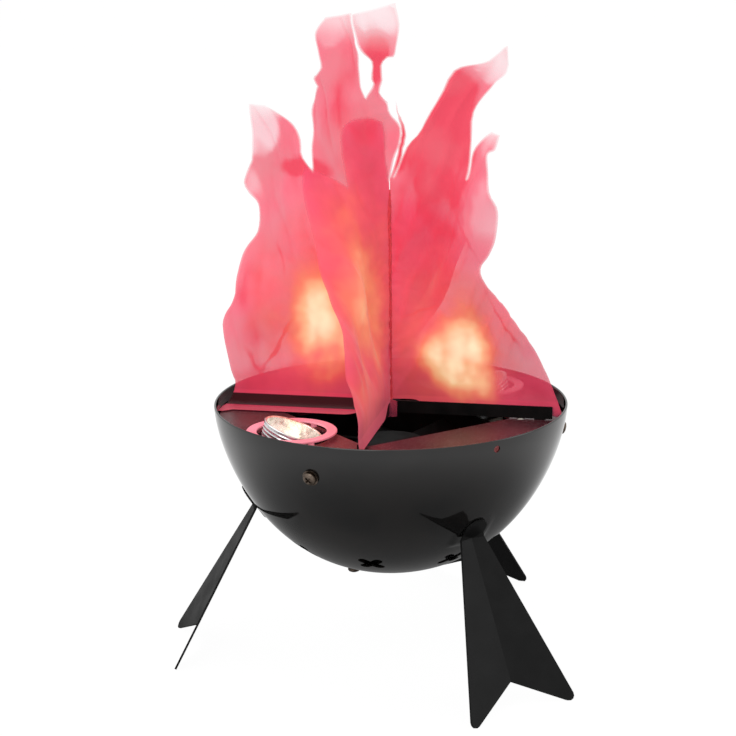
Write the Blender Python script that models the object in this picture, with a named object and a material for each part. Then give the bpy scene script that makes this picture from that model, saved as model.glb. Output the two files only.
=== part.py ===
"""A table-top silk flame light: a spun bowl on three folded legs, a fan and two tilted
reflector lamps inside it, and a crossed silk flame that stands on a cross of two strips.

Metres, +Z up. The feet stand on Z = 0 and the origin is the middle of the footprint. Azimuths
are measured about the bowl's axis from -Y towards +X, so a piece drawn at azimuth 0 faces -Y.
"""
import math

import bmesh
import bpy
from mathutils import Matrix, Vector

MM = 0.001
GAP = 0.3 * MM              # clearance between two pieces that bear on each other

# Bowl
RIM_R = 100 * MM
RIM_Z = 146 * MM
BOWL_DEPTH = 97 * MM
BOWL_WALL = 1.2 * MM
BOWL_SQUARE_R = 2.285       # exponents of the bowl's rounded-square section
BOWL_SQUARE_Z = 1.588
BOWL_STEPS = 40
BOWL_RINGS = 8

VENT_COUNT = 8
VENT_R = 59 * MM            # distance of each air cut-out from the axis
VENT_SPAN = 17 * MM
VENT_ARM = 5.5 * MM
HANG_HOLE_R = 2.0 * MM
HANG_HOLE_DROP = 5 * MM     # below the rim
GROMMET_DROP = 58 * MM
GROMMET_HOLE_R = 4.5 * MM
GROMMET_BORE_R = 2.6 * MM

# Legs: swallow-tail plates folded down the middle
LEG_COUNT = 3
LEG_SHEET = 1.2 * MM
LEG_TOP_HALF = 7.7 * MM
LEG_TIP_R = 127.6 * MM
LEG_TIP_HALF = 36.5 * MM
LEG_TIP_CUT = 3 * MM        # how far the pointed tips would reach below the floor
LEG_NOTCH_R = 113 * MM
LEG_NOTCH_Z = 14 * MM
LEG_CORNER_R = 3 * MM
TONGUE_DROP = 53.5 * MM     # the tongue's fastening, below the rim
TONGUE_HALF = 6.6 * MM
TONGUE_BELOW = 8 * MM
TONGUE_ABOVE = 6.5 * MM
STUD_R = 2.0 * MM
STUD_LENGTH = 9 * MM
HOLE_PLAY = 0.3 * MM        # how much larger in radius a clearance hole is

# Top plate and its side screws
PLATE_DROP = 7.5 * MM       # top of the plate below the rim
PLATE_SHEET = 1.2 * MM
OUTLET_HALF = 49 * MM
OUTLET_CORNER_R = 3 * MM
SIDE_SCREW_DROP = 18.4 * MM
SIDE_SCREW_R = 1.9 * MM
SIDE_HEAD_R = 3.7 * MM
SIDE_HEAD_H = 2.2 * MM
SIDE_SCREW_LENGTH = 9 * MM
WASHER_R = 4.5 * MM
WASHER_T = 0.8 * MM
TAB_HALF = 6 * MM
TAB_BELOW = 7 * MM          # the tab's reach below its screw

# Cross of two strips that holds the silk
STRIP_T = 1.0 * MM
STRIP_HALF = 92 * MM
STRIP_LIFT = 0.5 * MM       # above the plate
LUG_AT = 85 * MM
LUG_HALF = 3 * MM
LUG_BELOW = 1.5 * MM        # under the plate

# Fan
FAN_SIZE = 119 * MM
FAN_DEPTH = 25 * MM
FAN_CORNER_R = 5 * MM
FAN_PITCH = 105 * MM
FAN_BORE_R = 57.8 * MM
FAN_STANDOFF = 10 * MM
FAN_SCREW_R = 2.0 * MM
FAN_HEAD_R = 3.8 * MM
FAN_HEAD_H = 2.4 * MM
SPACER_R = 4.0 * MM
MOUNT_R = 21 * MM
MOUNT_T = 2.5 * MM
STRUT_HALF = 2 * MM
HUB_R = 20 * MM
HUB_WALL = 1.3 * MM
HUB_LOW = 5 * MM            # heights above the fan's lower face
HUB_HIGH = 20.5 * MM
BOSS_R = 3.6 * MM
BOSS_LOW = 13.5 * MM
SHAFT_R = 1.5 * MM
BEARING_R = 4.2 * MM
BLADE_COUNT = 7
BLADE_TIP_PLAY = 1.5 * MM
BLADE_LOW = 6.5 * MM
BLADE_HIGH = 19.5 * MM
BLADE_T = 1.4 * MM
MAGNET_T = 1.5 * MM
STATOR_PLAY = 0.7 * MM      # between the stator's shoes and the magnet
POLE_HALF = 2 * MM
BOARD_T = 1.0 * MM

# Lamps
LAMP_AZIMUTH = math.radians(-82)
LAMP_R = 72.8 * MM
LAMP_TILT = math.radians(20)
LAMP_AIM = math.radians(-42)   # how far the lean is turned from straight inwards
LAMP_HOLE_R = 20.5 * MM
RING_INNER_R = 19.2 * MM
RING_OUTER_R = 24.8 * MM
RING_T = 1.2 * MM
RING_LIFT = 2.8 * MM        # of the ring above the plate
EAR_T = 0.8 * MM
EAR_HALF = 2 * MM
PIVOT_DROP = 2.2 * MM       # of the pivot below the ring
PIN_R = 1.0 * MM
CAN_R = 17 * MM
CAN_MOUTH = 4.6 * MM        # above the pivot
CAN_WALL = 0.8 * MM
CAN_DEPTH = 22.7 * MM
CAN_NECK_R = 6.4 * MM
BULB_R = 4.5 * MM
STEM_R = 2.6 * MM
BULB_TOP = 0.5 * MM         # below the pivot
BULB_BARREL = 9 * MM        # from the bulb's top to the end of its barrel
BULB_NECK = 2 * MM
HOLDER_R = 5.8 * MM
HOLDER_H = 6.3 * MM

# Silk flame
CLOTH_T = 0.6 * MM
FLAME_H = 222 * MM          # tip of the flame above the rim
FOOT = 92 * MM              # width of each panel at its foot
SEAM_R = 1.0 * MM
SEAM_TOP = 120 * MM         # above the rim
HEM_LIFT = 0.8 * MM
HEM_LAP = 5.2 * MM          # how far the hem hangs down the strip's side
HEM_CLEAR = 12 * MM         # distance from the seam where the hem starts to go down
HEM_RUN = 12 * MM           # distance over which it goes down
HEM_HOLD = 9 * MM           # height over which the strip still holds the cloth flat
LAP_RUN = 10 * MM           # distance over which the cloth moves to the strip's side
LAP_FADE = 25 * MM          # height over which it comes back to the middle
FOLD_FADE = 45 * MM         # height over which the folds grow
FOLD = 5 * MM
TAB_SIZE = 7 * MM

# Tray in the bottom of the bowl
TRAY_X = 80 * MM
TRAY_Y = 50 * MM
TRAY_T = 1.5 * MM
TRAY_RISE = 15 * MM         # of the tray over the lowest point of the bowl
TRAY_CORNER_R = 4 * MM
TRAY_SCREW_X = 26 * MM
TRAY_SCREW_R = 1.9 * MM
TRAY_HEAD_R = 3.5 * MM
TRAY_HEAD_H = 2.2 * MM
TRAY_SPACER_R = 4.0 * MM
NUT_R = 3.9 * MM
NUT_T = 3.0 * MM
CORE_X = 40 * MM
CORE_Y = 18 * MM
CORE_ROOM = 4.2 * MM        # between the transformer's core and the fan
CORE_AT = -13 * MM
LIMB_HALF = 6 * MM
YOKE = 6 * MM
COIL_BUILD = 7 * MM
STRAP_T = 1.0 * MM
STRAP_HALF = 7 * MM
STRAP_FOOT = 8 * MM
STRAP_SCREW_R = 1.5 * MM
STRAP_HEAD_R = 2.8 * MM
STRAP_HEAD_H = 1.8 * MM
BLOCK_X = 12 * MM
BLOCK_Y = 18 * MM
BLOCK_Z = 11 * MM
BLOCK_AT = 33 * MM
WELL_R = 2.1 * MM
WELL_DEPTH = 6 * MM
WELL_COUNT = 2

# Worked out from the sizes above
PLATE_TOP = RIM_Z - PLATE_DROP
PLATE_LOW = PLATE_TOP - PLATE_SHEET
FAN_TOP = PLATE_LOW - FAN_STANDOFF - GAP
FAN_LOW = FAN_TOP - FAN_DEPTH
RING_LOW = PLATE_TOP + RING_LIFT
PIVOT_Z = RING_LOW - PIVOT_DROP
STRIP_LOW = PLATE_TOP + STRIP_LIFT
TRAY_Z = RIM_Z - BOWL_DEPTH + TRAY_RISE
CORE_Z = FAN_LOW - CORE_ROOM - (TRAY_Z + TRAY_T + GAP)
LEG_NAMES = ("front", "left", "right")
LEG_AZIMUTHS = [k * 2 * math.pi / LEG_COUNT for k in (0, -1, 1)]
SIDE_NAMES = ("back", "left", "right")
SIDE_AZIMUTHS = [math.pi + k * 2 * math.pi / LEG_COUNT for k in (0, 1, 2)]
FOOT_R = LEG_TIP_R - (LEG_TIP_R - LEG_NOTCH_R) * LEG_TIP_CUT / (LEG_NOTCH_Z + LEG_TIP_CUT)
AXIS_Y = (FOOT_R - RIM_R) / 2


def bowl_radius(z, inset=0.0):
    """Radius of the bowl's outer face at a height, or of a face a wall's inset inside it."""
    fall = min(max((RIM_Z - z) / (BOWL_DEPTH - inset), 0.0), 1.0)
    return (RIM_R - inset) * (1 - fall ** BOWL_SQUARE_Z) ** (1 / BOWL_SQUARE_R)


def bowl_height(r, inset=0.0):
    """Height of the same face at a distance from the axis."""
    out = min(r / (RIM_R - inset), 1.0)
    return RIM_Z - (BOWL_DEPTH - inset) * (1 - out ** BOWL_SQUARE_R) ** (1 / BOWL_SQUARE_Z)


def bowl_frame(azimuth, z):
    """Frame on the bowl's outer face: X along the rim, Y up the wall, Z straight out."""
    step = 0.5 * MM
    slope = (bowl_radius(z + step) - bowl_radius(z - step)) / (2 * step)
    out = Vector((math.sin(azimuth), -math.cos(azimuth), 0))
    along = Vector((math.cos(azimuth), math.sin(azimuth), 0))
    normal = (out - slope * Vector((0, 0, 1))).normalized()
    up = normal.cross(along)
    frame = Matrix((along, up, normal)).transposed().to_4x4()
    frame.translation = out * bowl_radius(z) + Vector((0, 0, z))
    return frame


def material(name, colour, roughness, metallic=0.0, **extra):
    """A Principled material."""
    mat = bpy.data.materials.new(name)
    mat.use_nodes = True
    shader = mat.node_tree.nodes["Principled BSDF"]
    shader.inputs["Base Color"].default_value = (*colour, 1)
    shader.inputs["Roughness"].default_value = roughness
    shader.inputs["Metallic"].default_value = metallic
    for key, value in extra.items():
        shader.inputs[key.replace("_", " ")].default_value = value
    return mat


def make(name, bm, mat, parent, frame=None, smooth=35):
    """Turns a bmesh into a named object under its parent, at its frame."""
    bmesh.ops.recalc_face_normals(bm, faces=bm.faces)
    mesh = bpy.data.meshes.new(name)
    bm.to_mesh(mesh)
    bm.free()
    if mat:
        mesh.materials.append(mat)
    mesh.shade_smooth()
    mesh.set_sharp_from_angle(angle=math.radians(smooth))
    ob = bpy.data.objects.new(name, mesh)
    bpy.context.scene.collection.objects.link(ob)
    ob.parent = parent
    if frame is not None:
        ob.location = frame.to_translation()
        ob.rotation_euler = frame.to_euler()
    return ob


def make_set(name, places, build, mat, parent):
    """Like pieces, each its own object: build fills a bmesh with one, and places names frames."""
    first = None
    for key, frame in places.items():
        if first is None:
            bm = bmesh.new()
            build(bm)
            first = make(name + "_" + key, bm, mat, parent, frame)
        else:
            ob = bpy.data.objects.new(name + "_" + key, first.data)
            bpy.context.scene.collection.objects.link(ob)
            ob.parent = parent
            ob.location = frame.to_translation()
            ob.rotation_euler = frame.to_euler()


def guide(name, parent=None, frame=None):
    """An empty that carries other objects."""
    ob = bpy.data.objects.new(name, None)
    bpy.context.scene.collection.objects.link(ob)
    ob.parent = parent
    if frame is not None:
        ob.location = frame.to_translation()
        ob.rotation_euler = frame.to_euler()
    return ob


def combine(ob, bm, operation="DIFFERENCE"):
    """Cuts the bodies of a bmesh out of an object, or joins them to it."""
    tool = make(ob.name + "_" + operation.lower(), bm, None, ob.parent)
    tool.location = ob.location
    tool.rotation_euler = ob.rotation_euler
    tool.hide_render = True
    tool.display_type = "WIRE"
    mod = ob.modifiers.new(operation.title(), "BOOLEAN")
    mod.operation = operation
    mod.solver = "EXACT"
    mod.object = tool
    return ob


def circle(radius, steps, centre=(0, 0), turn=0.0):
    """Points round a circle."""
    angles = [turn + k * 2 * math.pi / steps for k in range(steps)]
    return [(centre[0] + radius * math.cos(a), centre[1] + radius * math.sin(a)) for a in angles]


def rounded_box(half_x, half_y, radius, steps=3, centre=(0, 0)):
    """Outline of a rectangle with round corners."""
    points = []
    for k, (sx, sy) in enumerate(((1, 1), (-1, 1), (-1, -1), (1, -1))):
        mid = (centre[0] + sx * (half_x - radius), centre[1] + sy * (half_y - radius))
        for i in range(steps + 1):
            a = math.pi / 2 * (k + i / steps)
            points.append((mid[0] + radius * math.cos(a), mid[1] + radius * math.sin(a)))
    return points


def turned_points(points, turn):
    """Outline points turned about the origin."""
    c, s = math.cos(turn), math.sin(turn)
    return [(c * x - s * y, s * x + c * y) for x, y in points]


def add_turned(bm, profile, steps=24, frame=Matrix()):
    """Turns (radius, height) points about Z. A profile that starts and ends on the axis closes
    there, and any other closes on itself."""
    rings = []
    for r, z in profile:
        if r < 1e-9:
            rings.append([bm.verts.new(frame @ Vector((0, 0, z)))])
        else:
            rings.append([bm.verts.new(frame @ Vector((x, y, z))) for x, y in circle(r, steps)])
    pairs = list(zip(rings, rings[1:]))
    if profile[0][0] > 1e-9:
        pairs.append((rings[-1], rings[0]))
    for low, high in pairs:
        for i in range(steps):
            j = (i + 1) % steps
            if len(low) == 1:
                bm.faces.new((low[0], high[j], high[i]))
            elif len(high) == 1:
                bm.faces.new((low[i], low[j], high[0]))
            else:
                bm.faces.new((low[i], low[j], high[j], high[i]))


def add_rod(bm, radius, low, high, steps=16, frame=Matrix()):
    """A solid cylinder along Z."""
    add_turned(bm, [(0, low), (radius, low), (radius, high), (0, high)], steps, frame)


def add_tube(bm, inner, outer, low, high, steps=24, frame=Matrix()):
    """A straight tube along Z."""
    add_turned(bm, [(inner, low), (outer, low), (outer, high), (inner, high)], steps, frame)


def add_prism(bm, outline, low, high, frame=Matrix(), holes=()):
    """Raises an outline, with any holes, from one height to another."""
    flat = bmesh.new()
    loops = []
    for loop in (outline, *holes):
        verts = [flat.verts.new((x, y, 0)) for x, y in loop]
        for a, b in zip(verts, verts[1:] + verts[:1]):
            flat.edges.new((a, b))
        loops.append(verts)
    bmesh.ops.triangle_fill(flat, use_beauty=True, edges=flat.edges[:])
    flat.verts.index_update()
    bottom = [bm.verts.new(frame @ Vector((v.co.x, v.co.y, low))) for v in flat.verts]
    top = [bm.verts.new(frame @ Vector((v.co.x, v.co.y, high))) for v in flat.verts]
    for face in flat.faces:
        ids = [v.index for v in face.verts]
        bm.faces.new([top[i] for i in ids])
        bm.faces.new([bottom[i] for i in reversed(ids)])
    for verts in loops:
        for a, b in zip(verts, verts[1:] + verts[:1]):
            bm.faces.new((bottom[a.index], bottom[b.index], top[b.index], top[a.index]))
    flat.free()


def add_block(bm, low, high, frame=Matrix()):
    """A box between two corners."""
    outline = [(low[0], low[1]), (high[0], low[1]), (high[0], high[1]), (low[0], high[1])]
    add_prism(bm, outline, low[2], high[2], frame)


def spin_z(azimuth):
    """Turns a piece drawn at azimuth 0 to its azimuth."""
    return Matrix.Rotation(azimuth, 4, "Z")


def cross_outline(span, arm, steps=2):
    """Outline of an X with round-ended arms."""
    points = []
    half, reach = arm / 2, span / 2 - arm / 2
    for k in range(4):
        turn = math.pi / 4 + k * math.pi / 2
        ends = [(reach + half * math.sin(math.pi * i / steps),
                 -half * math.cos(math.pi * i / steps)) for i in range(steps + 1)]
        points += turned_points([(half, -half)] + ends, turn)
    return points


def make_bowl(axis, mat):
    """The spun bowl and everything that is pierced in it."""
    def side(inset, turn):
        return ((RIM_R - inset) * math.cos(turn) ** (2 / BOWL_SQUARE_R),
                RIM_Z - (BOWL_DEPTH - inset) * math.sin(turn) ** (2 / BOWL_SQUARE_Z))

    turns = [math.pi / 2 * k / BOWL_RINGS for k in range(1, BOWL_RINGS)]
    outer = [side(0, t) for t in reversed(turns)]
    inner = [side(BOWL_WALL, t) for t in turns]
    profile = ([(0, RIM_Z - BOWL_DEPTH)] + outer + [(RIM_R, RIM_Z), (RIM_R - BOWL_WALL, RIM_Z)]
               + inner + [(0, RIM_Z - BOWL_DEPTH + BOWL_WALL)])
    bm = bmesh.new()
    add_turned(bm, profile, BOWL_STEPS)
    bowl = make("bowl_shell", bm, mat, axis)

    cut = bmesh.new()
    reach = 4 * BOWL_WALL
    for k in range(VENT_COUNT):
        frame = bowl_frame(k * 2 * math.pi / VENT_COUNT, bowl_height(VENT_R))
        add_prism(cut, cross_outline(VENT_SPAN, VENT_ARM), -reach, reach, frame)
    for azimuth in LEG_AZIMUTHS:
        add_rod(cut, STUD_R + HOLE_PLAY, -reach, reach, 12, bowl_frame(azimuth, RIM_Z - TONGUE_DROP))
        add_rod(cut, HANG_HOLE_R, -reach, reach, 12, bowl_frame(azimuth, RIM_Z - HANG_HOLE_DROP))
    for azimuth in SIDE_AZIMUTHS:
        frame = bowl_frame(azimuth, RIM_Z - SIDE_SCREW_DROP)
        add_rod(cut, SIDE_SCREW_R + HOLE_PLAY, -reach, reach, 12, frame)
    add_rod(cut, GROMMET_HOLE_R, -reach, reach, 16, bowl_frame(math.pi, RIM_Z - GROMMET_DROP))
    for side_x in (-1, 1):
        at = Matrix.Translation((side_x * TRAY_SCREW_X, 0, bowl_height(TRAY_SCREW_X)))
        add_rod(cut, TRAY_SCREW_R + HOLE_PLAY, -reach, reach, 12, at)
    return combine(bowl, cut)


def tongue_frame():
    """Frame of the first leg's tongue: its middle plane, a gap clear of the bowl."""
    return bowl_frame(0, RIM_Z - TONGUE_DROP) @ Matrix.Translation((0, 0, GAP + LEG_SHEET / 2))


def round_corner(before, corner, after, radius, steps=4):
    """Replaces a corner of a flat outline in space by an arc."""
    a = (before - corner).normalized()
    b = (after - corner).normalized()
    half = a.angle(b) / 2
    run = radius / math.tan(half)
    centre = corner + (a + b).normalized() * radius / math.sin(half)
    start, end = corner + a * run - centre, corner + b * run - centre
    turned = [start.slerp(end, i / steps).normalized() for i in range(steps + 1)]
    return [centre + t * start.length for t in turned]


def leg_sheet():
    """Middle surface of a leg, at azimuth 0: its points and its faces."""
    tongue = tongue_frame()
    top = tongue @ Vector((0, -TONGUE_BELOW, 0))
    notch = Vector((0, -LEG_NOTCH_R, LEG_NOTCH_Z))
    tip = Vector((LEG_TIP_HALF, -LEG_TIP_R, -LEG_TIP_CUT))
    normal = (notch - top).cross(tip - top)
    shoulder = Vector((LEG_TOP_HALF, 0, top.z))
    shoulder.y = top.y - (normal.x * LEG_TOP_HALF) / normal.y
    wing = [top, notch] + round_corner(notch, tip, shoulder, LEG_CORNER_R) + [shoulder]
    steps = 5
    arc = [(TONGUE_HALF * math.cos(math.pi * i / (2 * steps)),
            TONGUE_ABOVE - TONGUE_HALF * (1 - math.sin(math.pi * i / (2 * steps))))
           for i in range(steps)]
    root = -TONGUE_BELOW + 3 * LEG_SHEET
    tab = [tongue @ Vector((x, y, 0)) for x, y in [(TONGUE_HALF, root)] + arc + [(0, TONGUE_ABOVE)]]
    base = tongue @ Vector((0, root, 0))
    return wing, [base] + tab, shoulder


def mirrored(points):
    """The same points on the other side of the leg's fold."""
    return [Vector((-p.x, p.y, p.z)) for p in points]


def make_leg(name, azimuth, axis, mat):
    """One folded leg with its tongue and the stud welded to it, cut flat where it stands."""
    wing, tab, shoulder = leg_sheet()
    sheet = bmesh.new()
    index = {}

    def vertex(p):
        key = tuple(round(c, 7) for c in p)
        if key not in index:
            index[key] = sheet.verts.new(p)
        return index[key]

    faces = [wing, list(reversed(mirrored(wing))), tab, list(reversed(mirrored(tab)))]
    join = [wing[0], shoulder, tab[1], tab[0]]
    faces += [join, list(reversed(mirrored(join)))]
    for points in faces:
        sheet.faces.new([vertex(p) for p in points])
    bmesh.ops.recalc_face_normals(sheet, faces=sheet.faces)
    for face in sheet.faces:
        face.normal_update()
    sheet.verts.index_update()
    offsets = []
    for v in sheet.verts:
        total = sum((f.normal for f in v.link_faces), Vector()).normalized()
        spread = min(total.dot(f.normal) for f in v.link_faces)
        offsets.append(total * LEG_SHEET / 2 / max(spread, 0.5))
    bm = bmesh.new()
    upper = [bm.verts.new(v.co + o) for v, o in zip(sheet.verts, offsets)]
    lower = [bm.verts.new(v.co - o) for v, o in zip(sheet.verts, offsets)]
    for face in sheet.faces:
        ids = [v.index for v in face.verts]
        bm.faces.new([upper[i] for i in ids])
        bm.faces.new([lower[i] for i in reversed(ids)])
    for edge in sheet.edges:
        if len(edge.link_faces) == 1:
            a, b = (v.index for v in edge.verts)
            bm.faces.new((upper[a], upper[b], lower[b], lower[a]))
    sheet.free()
    bmesh.ops.triangulate(bm, faces=bm.faces)
    everything = bm.verts[:] + bm.edges[:] + bm.faces[:]
    bmesh.ops.bisect_plane(bm, geom=everything, plane_co=(0, 0, 0), plane_no=(0, 0, -1),
                           clear_outer=True, dist=1e-7)
    rim = [e for e in bm.edges if len(e.link_faces) == 1]
    bmesh.ops.holes_fill(bm, edges=rim, sides=0)
    leg = make(name, bm, mat, axis, spin_z(azimuth), smooth=10)
    stud = bmesh.new()
    add_rod(stud, STUD_R, -STUD_LENGTH, GAP + LEG_SHEET / 2, 16, leg_frame(0))
    return combine(leg, stud, "UNION")


def leg_frame(azimuth):
    """Frame on the bowl's face where a leg is fastened."""
    return bowl_frame(azimuth, RIM_Z - TONGUE_DROP)


def make_leg_nuts(axis, mat):
    """Flange nuts inside the bowl, on the legs' studs."""
    frame = leg_frame(0)
    seat = -wall_along(frame) - sag(WASHER_R, frame) - 2 * GAP

    def nut(bm):
        bore = STUD_R + HOLE_PLAY
        profile = [(bore, seat - NUT_T), (NUT_R, seat - NUT_T), (NUT_R, seat - 1.1 * WASHER_T),
                   (WASHER_R, seat - 0.8 * WASHER_T), (WASHER_R, seat), (bore, seat)]
        rings = []
        for r, z in profile:
            outline = hexagon(r) if r == NUT_R else circle(r, 18)
            rings.append([bm.verts.new((x, y, z)) for x, y in outline])
        for low, high in zip(rings, rings[1:] + rings[:1]):
            for i in range(18):
                j = (i + 1) % 18
                bm.faces.new((low[i], low[j], high[j], high[i]))

    make_set("leg_nut", {n: leg_frame(a) for n, a in zip(LEG_NAMES, LEG_AZIMUTHS)}, nut, mat, axis)


def hexagon(radius, steps=18):
    """Points round a hexagon, as many as on a circle, so the two can be bridged."""
    points = []
    for k in range(steps):
        a = k * 2 * math.pi / steps
        part = (a + math.pi / 6) % (math.pi / 3) - math.pi / 6
        r = radius * math.cos(math.pi / 6) / math.cos(part)
        points.append((r * math.cos(a), r * math.sin(a)))
    return points


def wall_along(frame):
    """Thickness of the bowl's wall along a surface frame's normal."""
    start = frame.translation
    inward = -Vector(frame.col[2][:3])
    low, high = 0.0, 4 * BOWL_WALL
    for _ in range(40):
        mid = (low + high) / 2
        p = start + inward * mid
        inside = math.hypot(p.x, p.y) < bowl_radius(p.z, BOWL_WALL)
        low, high = (low, mid) if inside else (mid, high)
    return high


def sag(radius, frame):
    """How far the hollow inner face rises towards the edge of a flat disc laid in it."""
    ring = math.hypot(frame.translation.x, frame.translation.y)
    return radius ** 2 / (2 * ring) * 2


def tab_section():
    """Section of a plate tab as (distance from the axis, height): outer face, then inner."""
    low = RIM_Z - SIDE_SCREW_DROP - TAB_BELOW
    mid = (PLATE_TOP + PLATE_LOW) / 2

    def clear(z):
        return math.sqrt(bowl_radius(z, BOWL_WALL) ** 2 - TAB_HALF ** 2) - 3 * GAP

    top, foot = Vector((clear(PLATE_LOW), mid)), Vector((clear(low), low))
    inward = Vector((-(top - foot).y, (top - foot).x)).normalized() * PLATE_SHEET
    return top, foot, foot + inward, top + inward


def make_plate(axis, mat):
    """The plate that closes the bowl: air outlet, lamp holes, side tabs and fan standoffs."""
    facet = 1 - math.cos(math.pi / BOWL_STEPS)
    outline = circle((1 - facet) * bowl_radius(PLATE_LOW, BOWL_WALL) - GAP, BOWL_STEPS)
    holes = [rounded_box(OUTLET_HALF, OUTLET_HALF, OUTLET_CORNER_R)]
    for azimuth in (LAMP_AZIMUTH, LAMP_AZIMUTH + math.pi):
        centre = turned_points([(0, -LAMP_R)], azimuth)[0]
        holes.append(circle(LAMP_HOLE_R, 28, centre))
    for k in range(4):
        x, y, play = LUG_HALF + GAP, STRIP_T / 2 + GAP, LUG_AT
        slot = [(play - x, -y), (play + x, -y), (play + x, y), (play - x, y)]
        holes.append(turned_points(slot, math.pi / 4 + k * math.pi / 2))
    bm = bmesh.new()
    add_prism(bm, outline, PLATE_LOW, PLATE_TOP, holes=holes)
    plate = make("top_plate", bm, mat, axis)
    tabs = bmesh.new()
    upright = Matrix(((0, 0, 1, 0), (-1, 0, 0, 0), (0, 1, 0, 0), (0, 0, 0, 1)))
    for azimuth in SIDE_AZIMUTHS:
        section = [tuple(p) for p in tab_section()]
        add_prism(tabs, section, -TAB_HALF, TAB_HALF, spin_z(azimuth) @ upright)
    for at in fan_corners().values():
        add_rod(tabs, SPACER_R, PLATE_LOW - FAN_STANDOFF, PLATE_LOW + PLATE_SHEET / 2, 14, at)
    combine(plate, tabs, "UNION")
    cut = bmesh.new()
    for at in fan_corners().values():
        add_rod(cut, FAN_SCREW_R + HOLE_PLAY, FAN_TOP, PLATE_TOP + MM, 12, at)
    for azimuth in SIDE_AZIMUTHS:
        frame = bowl_frame(azimuth, RIM_Z - SIDE_SCREW_DROP)
        add_rod(cut, SIDE_SCREW_R + HOLE_PLAY, -8 * PLATE_SHEET, 0, 12, frame)
    return combine(plate, cut)


def pan_head(radius, height, base):
    """Profile of a pan head on top of a base height."""
    return [(radius, base), (radius, base + 0.45 * height),
            (0.86 * radius, base + 0.78 * height), (0.55 * radius, base + height),
            (0, base + height)]


def make_side_screws(axis, mat):
    """Pan-head screws with washers outside the bowl, driven into the plate's tabs."""
    base = 2 * GAP + WASHER_T
    places = {n: bowl_frame(a, RIM_Z - SIDE_SCREW_DROP)
              for n, a in zip(SIDE_NAMES, SIDE_AZIMUTHS)}
    make_set("side_washer", places, lambda bm: add_tube(
        bm, SIDE_SCREW_R + HOLE_PLAY, WASHER_R, GAP, GAP + WASHER_T, 20), mat, axis)
    shank = [(0, -SIDE_SCREW_LENGTH), (SIDE_SCREW_R, -SIDE_SCREW_LENGTH), (SIDE_SCREW_R, base)]
    for name, frame in places.items():
        bm, recess = bmesh.new(), bmesh.new()
        add_turned(bm, shank + pan_head(SIDE_HEAD_R, SIDE_HEAD_H, base), 20)
        add_prism(recess, cross_outline(1.25 * SIDE_HEAD_R, 0.26 * SIDE_HEAD_R, 1),
                  base + 0.4 * SIDE_HEAD_H, base + 2 * SIDE_HEAD_H)
        combine(make("side_screw_" + name, bm, mat, axis, frame), recess)


def make_strips(axis, mat):
    """Two flat strips on edge, halved into each other, with lugs in the plate's slots."""
    middle = (STRIP_LOW + RIM_Z) / 2
    slot = STRIP_T / 2 + GAP
    upright = Matrix(((1, 0, 0, 0), (0, 0, -1, 0), (0, 1, 0, 0), (0, 0, 0, 1)))
    low = PLATE_LOW - LUG_BELOW
    for name, turn, notch in (("strip_a", math.pi / 4, 1), ("strip_b", -math.pi / 4, -1)):
        right = [(STRIP_HALF, RIM_Z), (STRIP_HALF, STRIP_LOW), (LUG_AT + LUG_HALF, STRIP_LOW),
                 (LUG_AT + LUG_HALF, low), (LUG_AT - LUG_HALF, low), (LUG_AT - LUG_HALF, STRIP_LOW)]
        if notch > 0:
            top = [(slot, middle - GAP / 2), (slot, RIM_Z)]
            outline = [(-x, z) for x, z in right[:1]] + [(-slot, RIM_Z), (-slot, middle - GAP / 2)]
            outline += top + right + [(-x, z) for x, z in reversed(right[1:])]
        else:
            cut = [(slot, STRIP_LOW), (slot, middle + GAP / 2)]
            outline = right + cut + [(-x, z) for x, z in reversed(cut)]
            outline += [(-x, z) for x, z in reversed(right)]
        bm = bmesh.new()
        add_prism(bm, outline, -STRIP_T / 2, STRIP_T / 2, upright)
        make(name, bm, mat, axis, spin_z(turn))


def make_fan_frame(axis, mat):
    """The fan's square housing with the struts and plate that carry its motor."""
    holes = [circle(FAN_BORE_R, 40)]
    holes += [circle(FAN_SCREW_R + HOLE_PLAY, 12, at.to_translation()[:2])
              for at in fan_corners().values()]
    bm = bmesh.new()
    square = rounded_box(FAN_SIZE / 2, FAN_SIZE / 2, FAN_CORNER_R)
    add_prism(bm, square, FAN_LOW, FAN_TOP, holes=holes)
    frame = make("fan_frame", bm, mat, axis)
    star = []
    reach = (FAN_BORE_R + FAN_SIZE / 2) / 2
    spread = math.asin(STRUT_HALF / MOUNT_R)
    for k in range(4):
        a = k * math.pi / 2
        star += turned_points([(reach, -STRUT_HALF), (reach, STRUT_HALF)], a)
        arc = [a + spread + i * (math.pi / 2 - 2 * spread) / 6 for i in range(7)]
        star += [(MOUNT_R * math.cos(t), MOUNT_R * math.sin(t)) for t in arc]
    spider = bmesh.new()
    base = FAN_LOW + 0.2 * MM
    add_prism(spider, star, base, base + MOUNT_T)
    return combine(frame, spider, "UNION")


def blade_point(r, u):
    """Middle of a blade at a radius and a share of its chord: its angle and height."""
    share = (r - HUB_R) / (FAN_BORE_R - HUB_R)
    sweep = math.radians(40 - 13 * share)
    return sweep * (u - 0.5) + math.radians(9) * share, BLADE_LOW + (BLADE_HIGH - BLADE_LOW) * u


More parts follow.
